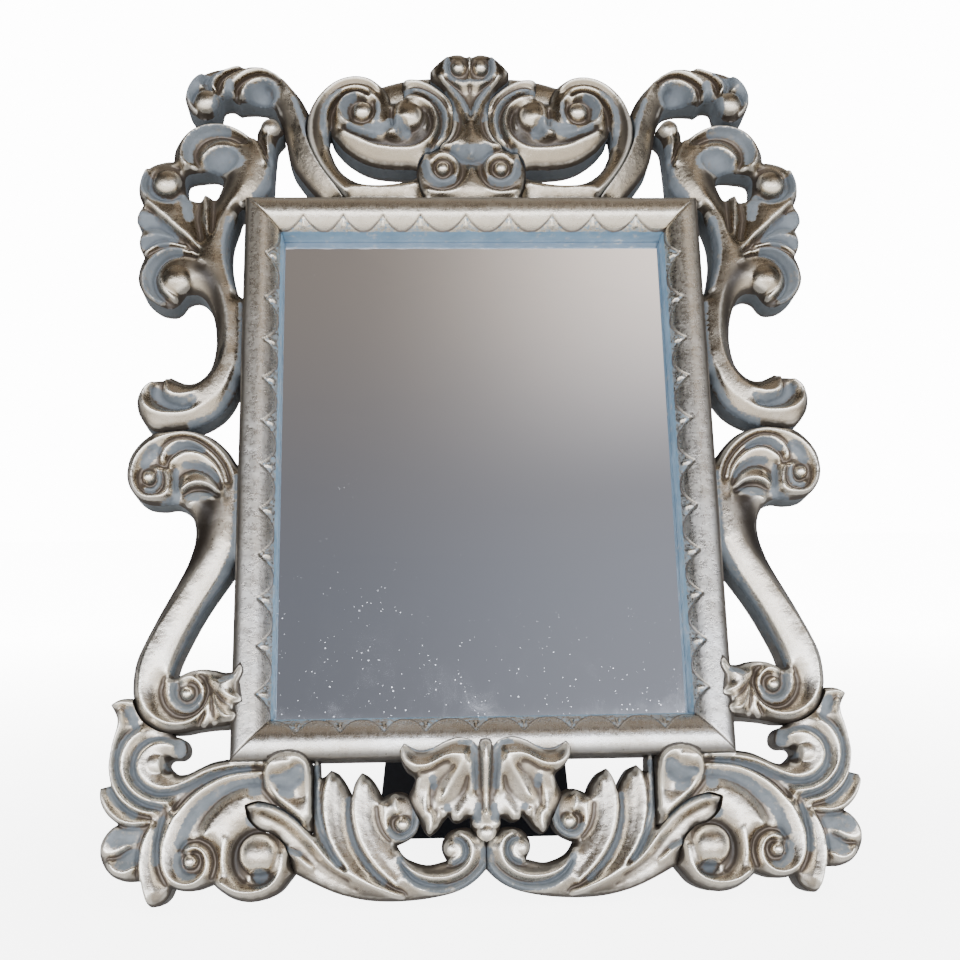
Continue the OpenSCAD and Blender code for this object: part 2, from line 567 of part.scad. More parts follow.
module hinge_board_leaf() color("silver") at_pin() hinge_leaf(0, pin_back - leaf_t, pin_r);
module hinge_strut_leaf() color("silver") at_strut() {
    mirror([0, 1, 0]) hinge_leaf(1, -pin_back, pin_r + run_gap);
    // Stop tabs: they meet the board leaf when the strut is fully open
    rotate([-open_angle, 0, 0]) for (i = [1 : 2 : knuckles - 1])
        translate([-hinge_w / 2 + i * (knuckle_w + knuckle_gap) + tab_inset, pin_r + 0.3, -0.2])
            cube([knuckle_w - 2 * tab_inset, 5, 0.85]);
}
module hinge_pin() color("gainsboro") at_pin()
    translate([-hinge_w / 2 - 1, 0, 0]) rotate([0, 90, 0]) cylinder(h = hinge_w + 2, r = pin_r);
module hinge_board_screws() color("gainsboro") stand() leaf_screw_spots(1) {
    translate([0, 0, back_z - leaf_t]) cylinder(h = leaf_t + leaf_screw_len, r = leaf_screw_r);
    translate([0, 0, back_z - leaf_t]) dome(leaf_head_r, leaf_head_h);
}
module hinge_strut_rivets() color("gainsboro") at_strut()
    for (p = leaf_holes) translate([p.x, -p.y, -pin_back - strut_t]) {
        cylinder(h = strut_t + leaf_t, r = leaf_screw_r);
        dome(leaf_head_r, leaf_head_h);
        translate([0, 0, strut_t + leaf_t]) mirror([0, 0, 1]) dome(leaf_head_r, leaf_head_h);
    }

// Flared board whose foot is cut level with the table when it is open
module strut() color([0.07, 0.07, 0.08]) difference() {
    at_strut() difference() {
        layer(-pin_back - strut_t, -pin_back) polygon([[-strut_top_half, -pin_back - 0.5],
            [strut_top_half, -pin_back - 0.5], [strut_foot_half, -strut_len],
            [-strut_foot_half, -strut_len]]);
        for (p = leaf_holes) translate([p.x, -p.y, -pin_back - strut_t - 1])
            cylinder(h = strut_t + 2, r = leaf_screw_r);
    }
    translate([-200, -200, -50]) cube([400, 500, 50]);
}

module crest_scroll_left() sided(-1) crest_scroll();
module crest_scroll_right() sided(1) crest_scroll();
module corner_scroll_left() sided(-1) corner_scroll();
module corner_scroll_right() sided(1) corner_scroll();
module upper_side_scroll_left() sided(-1) upper_side_scroll();
module upper_side_scroll_right() sided(1) upper_side_scroll();
module lower_side_scroll_left() sided(-1) lower_side_scroll();
module lower_side_scroll_right() sided(1) lower_side_scroll();
module base_corner_left() sided(-1) base_corner();
module base_corner_right() sided(1) base_corner();
module base_leaf_left() sided(-1) base_leaf();
module base_leaf_right() sided(1) base_leaf();
module turn_button_upper_left() turn_button(-1, 1);
module turn_button_upper_right() turn_button(1, 1);
module turn_button_lower_left() turn_button(-1, -1);
module turn_button_lower_right() turn_button(1, -1);

moulding_top();
moulding_bottom();
moulding_left();
moulding_right();
corner_v_nails();
crest_centre();
crest_scroll_left();
crest_scroll_right();
corner_scroll_left();
corner_scroll_right();
upper_side_scroll_left();
upper_side_scroll_right();
lower_side_scroll_left();
lower_side_scroll_right();
base_corner_left();
base_corner_right();
base_leaf_left();
base_leaf_right();
apron_centre_leaf();
mirror_glass();
backing_card();
back_board();
turn_button_upper_left();
turn_button_upper_right();
turn_button_lower_left();
turn_button_lower_right();
turn_button_screws();
hinge_board_leaf();
hinge_strut_leaf();
hinge_pin();
hinge_board_screws();
hinge_strut_rivets();
strut();
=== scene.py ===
import json
import math

import bpy
import numpy as np
from mathutils import Matrix, Vector


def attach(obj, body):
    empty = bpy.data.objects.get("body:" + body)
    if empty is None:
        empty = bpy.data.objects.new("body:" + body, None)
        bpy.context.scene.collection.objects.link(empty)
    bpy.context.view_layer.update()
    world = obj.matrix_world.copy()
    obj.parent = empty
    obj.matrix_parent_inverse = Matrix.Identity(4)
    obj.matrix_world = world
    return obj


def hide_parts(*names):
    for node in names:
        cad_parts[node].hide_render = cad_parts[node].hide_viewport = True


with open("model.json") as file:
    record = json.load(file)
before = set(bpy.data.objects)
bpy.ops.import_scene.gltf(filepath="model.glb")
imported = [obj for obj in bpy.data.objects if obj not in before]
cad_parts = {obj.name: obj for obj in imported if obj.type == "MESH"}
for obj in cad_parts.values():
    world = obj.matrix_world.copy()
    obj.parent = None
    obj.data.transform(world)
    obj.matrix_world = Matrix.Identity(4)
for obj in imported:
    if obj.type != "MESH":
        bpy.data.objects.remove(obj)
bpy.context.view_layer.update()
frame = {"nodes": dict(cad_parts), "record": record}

# ---------- the lean of the frame, from the axes of the turn buttons ----------

MM = 0.001
BACK = -18.0          # back of the moulding behind the sight edge
BUTTON_PLANE = -19.0  # the turn buttons' axes are given here
HALF_W, HALF_H = 97.0, 122.0  # half the sight opening
WIDE = 19.0           # width of the moulding

buttons = [j for j in frame["record"]["behaviour"]["joints"] if j["name"].startswith("turn_button")]
out_dir = Vector(buttons[0]["axis"]).normalized()
if out_dir.y > 0:
    out_dir = -out_dir
up_dir = Vector((0, out_dir.z, -out_dir.y)).normalized()
middle = sum((Vector(j["pos_m"]) for j in buttons), Vector()) / len(buttons)
centre = middle - out_dir * BUTTON_PLANE * MM


def stand(v):
    """points of the flat frame (mm: x right, y up, z out of the front) as they stand, in metres"""
    v = np.asarray(v, float) * MM
    base = np.array([[1, 0, 0], up_dir[:], out_dir[:]])
    return v @ base + np.array(centre[:])


def table_z(y):
    """lowest z of the flat frame at height y that stays above the table"""
    return (-centre.z / MM - y * up_dir.z) / out_dir.z


# ---------- smooth lines and the surface stretched between them ----------

STEP = 0.5         # pitch of the finest grid
ALREADY_FINE = 60  # a path of more points than this is not smoothed again
# pitch of each grid and the rounds of settling on it, coarse to fine
PASSES = ((4.0, 200), (2.0, 150), (1.0, 120), (STEP, 140))
START = -2.0       # height of the skin before it settles
HOLD = 6           # how firmly a line holds the skin
MOST = 1.5         # weight above which crossing lines hold it no firmer


def between(a, b, c, d, t):
    """point of the curve through b and c, with a before and d after them"""
    return (2 * b + (c - a) * t + (2 * a - 5 * b + 4 * c - d) * t * t + (3 * b - a - 3 * c + d) * t ** 3) / 2


def smooth(points, closed=False, steps=6):
    """curve through the points, with a sharp corner where one is written twice"""
    p = np.array(points, float)
    n = len(p)
    made = []
    for i in range(n if closed else n - 1):
        pick = [(i + k) % n if closed else min(max(i + k, 0), n - 1) for k in (-1, 0, 1, 2)]
        a, b, c, d = p[pick]
        if np.allclose(b[:2], c[:2]):
            continue
        made += [between(a, b, c, d, s / steps) for s in range(steps)]
    if not closed:
        made.append(p[-1])
    return np.array(made)


def drawn(lines, low, size, step):
    """weight and height that the lines put on each grid point"""
    nx, ny = (int(s / step) + 2 for s in size)
    weight, total = np.zeros((ny, nx)), np.zeros((ny, nx))
    for z, pts in lines:
        c = np.asarray(pts, float) if len(pts) > ALREADY_FINE else smooth(pts)
        run = np.concatenate([[0], np.cumsum(np.hypot(*np.diff(c[:, :2], axis=0).T))])
        at = np.arange(0, run[-1], step * 0.4)
        fx = (np.interp(at, run, c[:, 0]) - low[0]) / step
        fy = (np.interp(at, run, c[:, 1]) - low[1]) / step
        ok = (fx >= 0) & (fy >= 0) & (fx < nx - 1) & (fy < ny - 1)
        fx, fy = fx[ok], fy[ok]
        i, j = fx.astype(int), fy.astype(int)
        u, v = fx - i, fy - j
        for di, dj, w in ((0, 0, (1 - u) * (1 - v)), (1, 0, u * (1 - v)), (0, 1, (1 - u) * v), (1, 1, u * v)):
            np.add.at(weight, (j + dj, i + di), w)
            np.add.at(total, (j + dj, i + di), w * z)
    return weight, np.where(weight > 0, total / np.maximum(weight, 1e-9), 0)


def finer(g, shape, ratio):
    """grid g read at another pitch"""
    jj, ii = np.arange(shape[0]) * ratio, np.arange(shape[1]) * ratio
    j0 = np.minimum(jj.astype(int), g.shape[0] - 2)
    i0 = np.minimum(ii.astype(int), g.shape[1] - 2)
    v, u = (jj - j0)[:, None], (ii - i0)[None, :]
    low = g[j0][:, i0] * (1 - u) + g[j0][:, i0 + 1] * u
    high = g[j0 + 1][:, i0] * (1 - u) + g[j0 + 1][:, i0 + 1] * u
    return low * (1 - v) + high * v


def stretched(lines, low, size, puff):
    """a skin pulled over the lines, slightly puffed up between them"""
    h, last = None, 1
    for step, rounds in PASSES:
        weight, aim = drawn(lines, low, size, step)
        pull = HOLD * np.minimum(weight, MOST)
        h = np.full(weight.shape, START) if h is None else finer(h, weight.shape, step / last)
        share = 1 / (4 + pull)
        source = pull * aim + puff * step * step
        for _ in range(rounds):
            p = np.pad(h, 1, mode="edge")
            h = (p[:-2, 1:-1] + p[2:, 1:-1] + p[1:-1, :-2] + p[1:-1, 2:] + source) * share
        last = step
    return h


def blurred(a, sigma):
    """grid softened by a bell of sigma mm"""
    s = sigma / STEP
    r = int(3 * s + 1)
    k = np.exp(-0.5 * (np.arange(-r, r + 1) / s) ** 2)
    k /= k.sum()
    for axis in (0, 1):
        pad = [(0, 0), (0, 0)]
        pad[axis] = (r, r)
        p = np.pad(a, pad, mode="edge")
        a = sum(w * np.take(p, range(i, i + a.shape[axis]), axis=axis) for i, w in enumerate(k))
    return a


def edge_distance(X, Y, loops, reach=4.0):
    """distance to the outline, positive inside"""
    x, y = X[0], Y[:, 0]
    dist = np.full(X.shape, reach)
    inside = np.zeros(X.shape, bool)
    for q in loops:
        for (ax, ay), (bx, by) in zip(q, np.roll(q, -1, axis=0)):
            i0, i1 = np.searchsorted(x, (min(ax, bx) - reach, max(ax, bx) + reach))
            j0, j1 = np.searchsorted(y, (min(ay, by) - reach, max(ay, by) + reach))
            if i0 < i1 and j0 < j1:
                px, py = X[j0:j1, i0:i1] - ax, Y[j0:j1, i0:i1] - ay
                dx, dy = bx - ax, by - ay
                t = np.clip((px * dx + py * dy) / max(dx * dx + dy * dy, 1e-12), 0, 1)
                part = dist[j0:j1, i0:i1]
                np.minimum(part, np.hypot(px - t * dx, py - t * dy), out=part)
            if ay != by:
                (lx, ly), (hx, hy) = ((ax, ay), (bx, by)) if ay < by else ((bx, by), (ax, ay))
                rows = np.where((y >= ly) & (y < hy))[0]
                cross = lx + (y[rows] - ly) / (hy - ly) * (hx - lx)
                inside[rows] ^= X[rows] > cross[:, None]
    return np.where(inside, dist, -dist)


# ---------- section of the moulding ----------

CROWN = 10.0   # height of the moulding over the sight edge
REBATE = 6.0   # width of the rebate
LIP = 7.0      # depth of the lip in front of the glass
OVER = 0.15    # gap between the moulding and a carving that laps over it
SWELL = 16     # distance over which such a carving rises, and by how much less than the crown
SHORT = 2.5

# the moulding's face from the sight edge over the crown, as shares of its width and height
FACE = ((0, 0), (0.02, 0.2), (0.05, 0.38), (0.085, 0.5), (0.13, 0.605), (0.18, 0.7), (0.24, 0.79),
        (0.31, 0.87), (0.38, 0.935), (0.455, 0.98), (0.53, 1), (0.6, 1), (0.66, 0.985), (0.73, 0.96),
        (0.79, 0.925), (0.84, 0.885), (0.88, 0.84), (0.92, 0.78), (0.95, 0.7), (0.975, 0.58), (1, 0.3))


def section(u):
    """height of the moulding's face at u mm outward from the sight edge"""
    path = smooth(FACE, steps=5)
    return CROWN * np.interp(np.asarray(u, float) / WIDE, path[:, 0], path[:, 1])


def moulding_top_at(X, Y):
    """height of the moulding under a carving that laps over it, or the back plane outside it"""
    u = np.maximum(np.abs(X) - HALF_W, np.abs(Y) - HALF_H)
    return np.where(u < WIDE + 0.3, section(np.clip(u, 0, WIDE)) + OVER, BACK)


def lift_over(X, Y):
    """how far a carving swells out to lie over the moulding"""
    out = np.hypot(np.maximum(np.abs(X) - HALF_W - WIDE, 0), np.maximum(np.abs(Y) - HALF_H - WIDE, 0))
    t = np.clip(1 - out / SWELL, 0, 1)
    return (CROWN - SHORT) * t * t * (3 - 2 * t)


# ---------- drawing of the carvings: left halves, mm in the flat frame ----------


def both(half):
    """outline of a piece on the middle line, from its left half"""
    return half + [(-x, y) for x, y in reversed(half)]


# outlines, of the body and then of its holes; a point written twice is a sharp corner
OUTLINES = {
    "crest_centre": [
        both([(0, 228), (-5, 230.5), (-11, 229.5), (-17, 225), (-21, 220), (-21, 220), (-20.5, 214.5),
              (-14, 208), (-10, 198), (-9.5, 187), (-12, 179), (-17, 173.5), (-17, 173.5), (-23, 170.5),
              (-27.5, 165), (-28.5, 158), (-27.5, 150), (-25.5, 145), (-25, 141), (-25, 141)]),
    ],
    "crest_scroll": [
        [(-65, 141), (-65, 141), (-70, 148), (-75, 155), (-80, 163), (-84.5, 173), (-86.5, 182), (-86, 190),
         (-84, 198), (-80, 205), (-74, 211), (-67, 214.5), (-60, 215.5), (-52, 214), (-46, 210), (-43, 205),
         (-41.5, 199.5), (-41.5, 199.5), (-38, 200.5), (-35, 204), (-36, 213.5), (-36, 213.5), (-30, 214.5),
         (-24, 212.5), (-18, 209), (-8, 200), (-6, 188), (-10, 176), (-20, 168), (-22, 150), (-20, 141),
         (-20, 141)],
        [(-74, 185), (-72, 180), (-66, 172.5), (-58, 166.5), (-50, 163.3), (-40, 162), (-32, 162),
         (-27.5, 160.5), (-29, 157), (-34, 155), (-42, 153.2), (-52, 152.6), (-60, 154.5), (-66, 158.5),
         (-70, 163.5), (-73, 171), (-74.7, 178)],
    ],
    "crest_ledge": [
        [(-52, 213), (-52, 213), (-43, 216), (-36, 218), (-29, 219.3), (-20.8, 220.1), (-20.8, 220.1),
         (-19, 205), (-19, 205), (-48, 202), (-48, 202)],
    ],
    "corner_scroll": [
        [(-77, 141), (-77, 141), (-83, 148.5), (-88, 155), (-92.5, 162), (-95, 169), (-96.5, 176), (-98, 184),
         (-101, 192), (-104, 198), (-111, 200.5), (-119.5, 200.5), (-122, 200), (-126, 202.5), (-130.5, 201.5),
         (-132, 195.5), (-135.5, 191.5), (-140, 190.5), (-145, 193), (-148.5, 198), (-150, 204), (-148, 210),
         (-144, 215), (-138, 219), (-130, 221), (-120, 221.5), (-110, 220.5), (-102, 216.5), (-95, 210),
         (-89.5, 203), (-86, 196.5), (-86, 196.5), (-84, 190), (-82, 173), (-77, 163), (-72, 155), (-67, 148),
         (-62, 141), (-62, 141)],
    ],
    "upper_side_scroll": [
        [(-105, 189), (-101, 187.5), (-98, 183), (-101.5, 178), (-102.5, 170), (-103, 160), (-103.5, 152),
         (-106, 146.5), (-110, 141), (-110, 141), (-112, 110), (-112, 70), (-112, 46), (-112, 46), (-117, 46),
         (-118.5, 40), (-121, 34), (-125, 28.5), (-130, 24.5), (-136, 21.5), (-143, 20), (-150, 19.3),
         (-157, 19), (-161, 21), (-164.5, 25.5), (-166.5, 30), (-167, 36), (-165, 41), (-161, 44.5),
         (-155, 45.5), (-151, 46.8), (-151, 46.8), (-144, 43.8), (-139.5, 44), (-135, 46.8), (-131.5, 52),
         (-129.7, 60), (-129.5, 68), (-130.5, 76), (-133, 84), (-136.5, 89.5), (-141, 91.5), (-145.5, 90),
         (-148.5, 86), (-152, 84), (-158, 84.8), (-163, 88), (-167, 92.5), (-169.5, 99), (-169, 106),
         (-167, 112), (-167, 112), (-169.5, 117), (-170, 122), (-168.5, 127.5), (-168.5, 127.5), (-171.5, 131),
         (-171.5, 136), (-169, 141), (-169, 141), (-171.3, 147), (-171.3, 154), (-169, 160), (-164.5, 164),
         (-158, 166), (-154.5, 166), (-154.5, 166), (-154, 172), (-151.5, 178), (-147, 183), (-140, 186),
         (-131, 187), (-122, 184.5), (-115, 180), (-112, 178.5), (-112, 178.5), (-111, 185)],
        [(-110, 138), (-110, 138), (-118.5, 137.5), (-121, 131), (-123.5, 122), (-124, 113), (-123, 105),
         (-121, 97), (-118.5, 90.5), (-110, 87), (-110, 87)],
        [(-147.5, 158), (-140, 160), (-132.5, 160), (-128.5, 155), (-130, 148.5), (-132.5, 144), (-137, 146.5),
         (-140, 143), (-146, 145), (-148, 151)],
    ],
    "lower_side_scroll": [
        [(-157, 18.4), (-150, 18.9), (-141, 18.9), (-133, 17), (-127, 13.5), (-121, 7.5), (-117, 1.5),
         (-112, -3), (-112, -3), (-112, -44), (-112, -44), (-116.5, -47.5), (-119, -53), (-123, -59),
         (-128, -66.5), (-133, -75), (-138, -85), (-142, -94), (-144, -101.5), (-144, -101.5), (-140, -100.5),
         (-135, -98.3), (-129, -97.8), (-124, -98.8), (-119, -100.3), (-115, -99.8), (-111.5, -96.5),
         (-111.5, -96.5), (-110, -101), (-112, -105.5), (-112, -105.5), (-111, -110), (-110.3, -114.5),
         (-110.3, -114.5), (-114, -117), (-112.8, -120), (-114, -123.5), (-119, -124.7), (-125, -125),
         (-132, -125.8), (-139, -127), (-147, -126.7), (-154, -123.7), (-159, -118.5), (-161.7, -111),
         (-162.3, -103), (-161.2, -94), (-158.2, -86), (-154, -77), (-149, -67), (-144, -57.5), (-139.5, -48),
         (-136.5, -38), (-136.2, -30), (-138.5, -23.5), (-142.5, -19.5), (-147, -18), (-153, -18.7),
         (-160, -17.7), (-165, -14.3), (-168.7, -9), (-170.2, -3), (-169.3, 5), (-165.8, 11.5), (-161.3, 16)],
    ],
    "base_corner": [
        [(-172, -113.5), (-172, -113.5), (-168, -111.2), (-163, -110.8), (-159, -112), (-150, -120),
         (-143, -127.8), (-139, -129.3), (-136.6, -132), (-136.3, -136), (-139, -138.6), (-144, -139),
         (-145.3, -141.7), (-141, -145.3), (-136, -145.5), (-130, -142.8), (-124, -140.3), (-116, -139),
         (-116, -139), (-101, -139), (-101, -139), (-98.5, -139), (-94, -137), (-88, -136.3), (-82.5, -138),
         (-79.5, -141.5), (-78.4, -147), (-78.4, -147), (-78.4, -172), (-78.4, -172), (-84, -176),
         (-88.5, -184), (-86.5, -190.3), (-86.5, -190.3), (-89, -193.5), (-93, -198), (-99, -201),
         (-106, -202.1), (-113, -200.7), (-119, -197.2), (-122.7, -194), (-122.7, -194), (-126, -195.3),
         (-131, -196.8), (-136, -196.7), (-140.8, -195.5), (-140.8, -195.5), (-142.5, -199.5), (-145.5, -202.3),
         (-149.5, -203.3), (-152.5, -200), (-154.5, -192.2), (-154.5, -192.2), (-161, -192.2), (-167, -190),
         (-171, -186), (-173.3, -180.5), (-173, -175), (-170, -170), (-166, -167.2), (-166, -167.2),
         (-171, -163), (-174.3, -157.5), (-175, -151.3), (-175, -151.3), (-170.2, -150), (-170.2, -150),
         (-171.6, -142), (-171, -135), (-169.7, -128), (-168.7, -120.5)],
    ],
    "base_leaf": [
        [(-78.4, -139), (-78.4, -139), (-76, -139), (-76, -139), (-75.5, -148.5), (-75.5, -148.5),
         (-73, -147.5), (-70.5, -145), (-70.5, -145), (-66.5, -147), (-62.8, -152.5), (-61, -156.5),
         (-61, -156.5), (-59.5, -151), (-56.3, -146.3), (-56.3, -146.3), (-52.5, -148.5), (-49, -153),
         (-47, -157.8), (-47, -157.8), (-44, -156.2), (-40, -155.2), (-36, -156), (-32.8, -159), (-30.8, -163),
         (-30, -168), (-31.5, -173), (-35, -176.5), (-40.5, -179), (-40.5, -179), (-37.5, -183.5),
         (-32.5, -186.3), (-26, -187.7), (-18, -186), (-18, -186), (-20, -181.5), (-19.5, -177),
         (-16.5, -173.3), (-12, -171.8), (-7.5, -172), (-4, -174.5), (0, -176), (0, -176), (0, -190), (0, -190),
         (-4, -194), (-9, -197.5), (-15, -200), (-22, -201.6), (-31, -202.8), (-42, -203.3), (-54, -202.5),
         (-66, -199.7), (-76, -195.6), (-86.5, -190.3), (-86.5, -190.3), (-88.7, -184), (-91, -178),
         (-96.5, -173), (-103, -170.8), (-107.5, -166), (-108.8, -160), (-108.8, -160), (-103, -158.3),
         (-96.5, -159.8), (-91, -162.5), (-85.5, -166.5), (-81.5, -171), (-78.4, -173.5), (-78.4, -173.5)],
    ],
    "centre_leaf": [
        both([(0, -132.8), (-2.4, -133.5), (-3.3, -136.8), (-3.3, -136.8), (-6, -133.8), (-10, -132.5),
              (-14, -132.5), (-19, -134.2), (-24, -136.8), (-29, -138), (-33, -136.8), (-36.8, -134.5),
              (-36.8, -134.5), (-38.8, -138), (-38, -142), (-35.5, -146), (-32, -149), (-33, -153),
              (-35, -157.5), (-33, -163), (-30, -169), (-27.7, -173.5), (-25.7, -175.3), (-25.7, -175.3),
              (-22.3, -173), (-19, -168.7), (-16.8, -166.3), (-16.8, -166.3), (-14.8, -169), (-12, -169.6),
              (-8.5, -167.8), (-6.7, -167), (-6.7, -167), (-6.5, -171.5), (-4, -176.3), (0, -178.4)]),
    ],
}

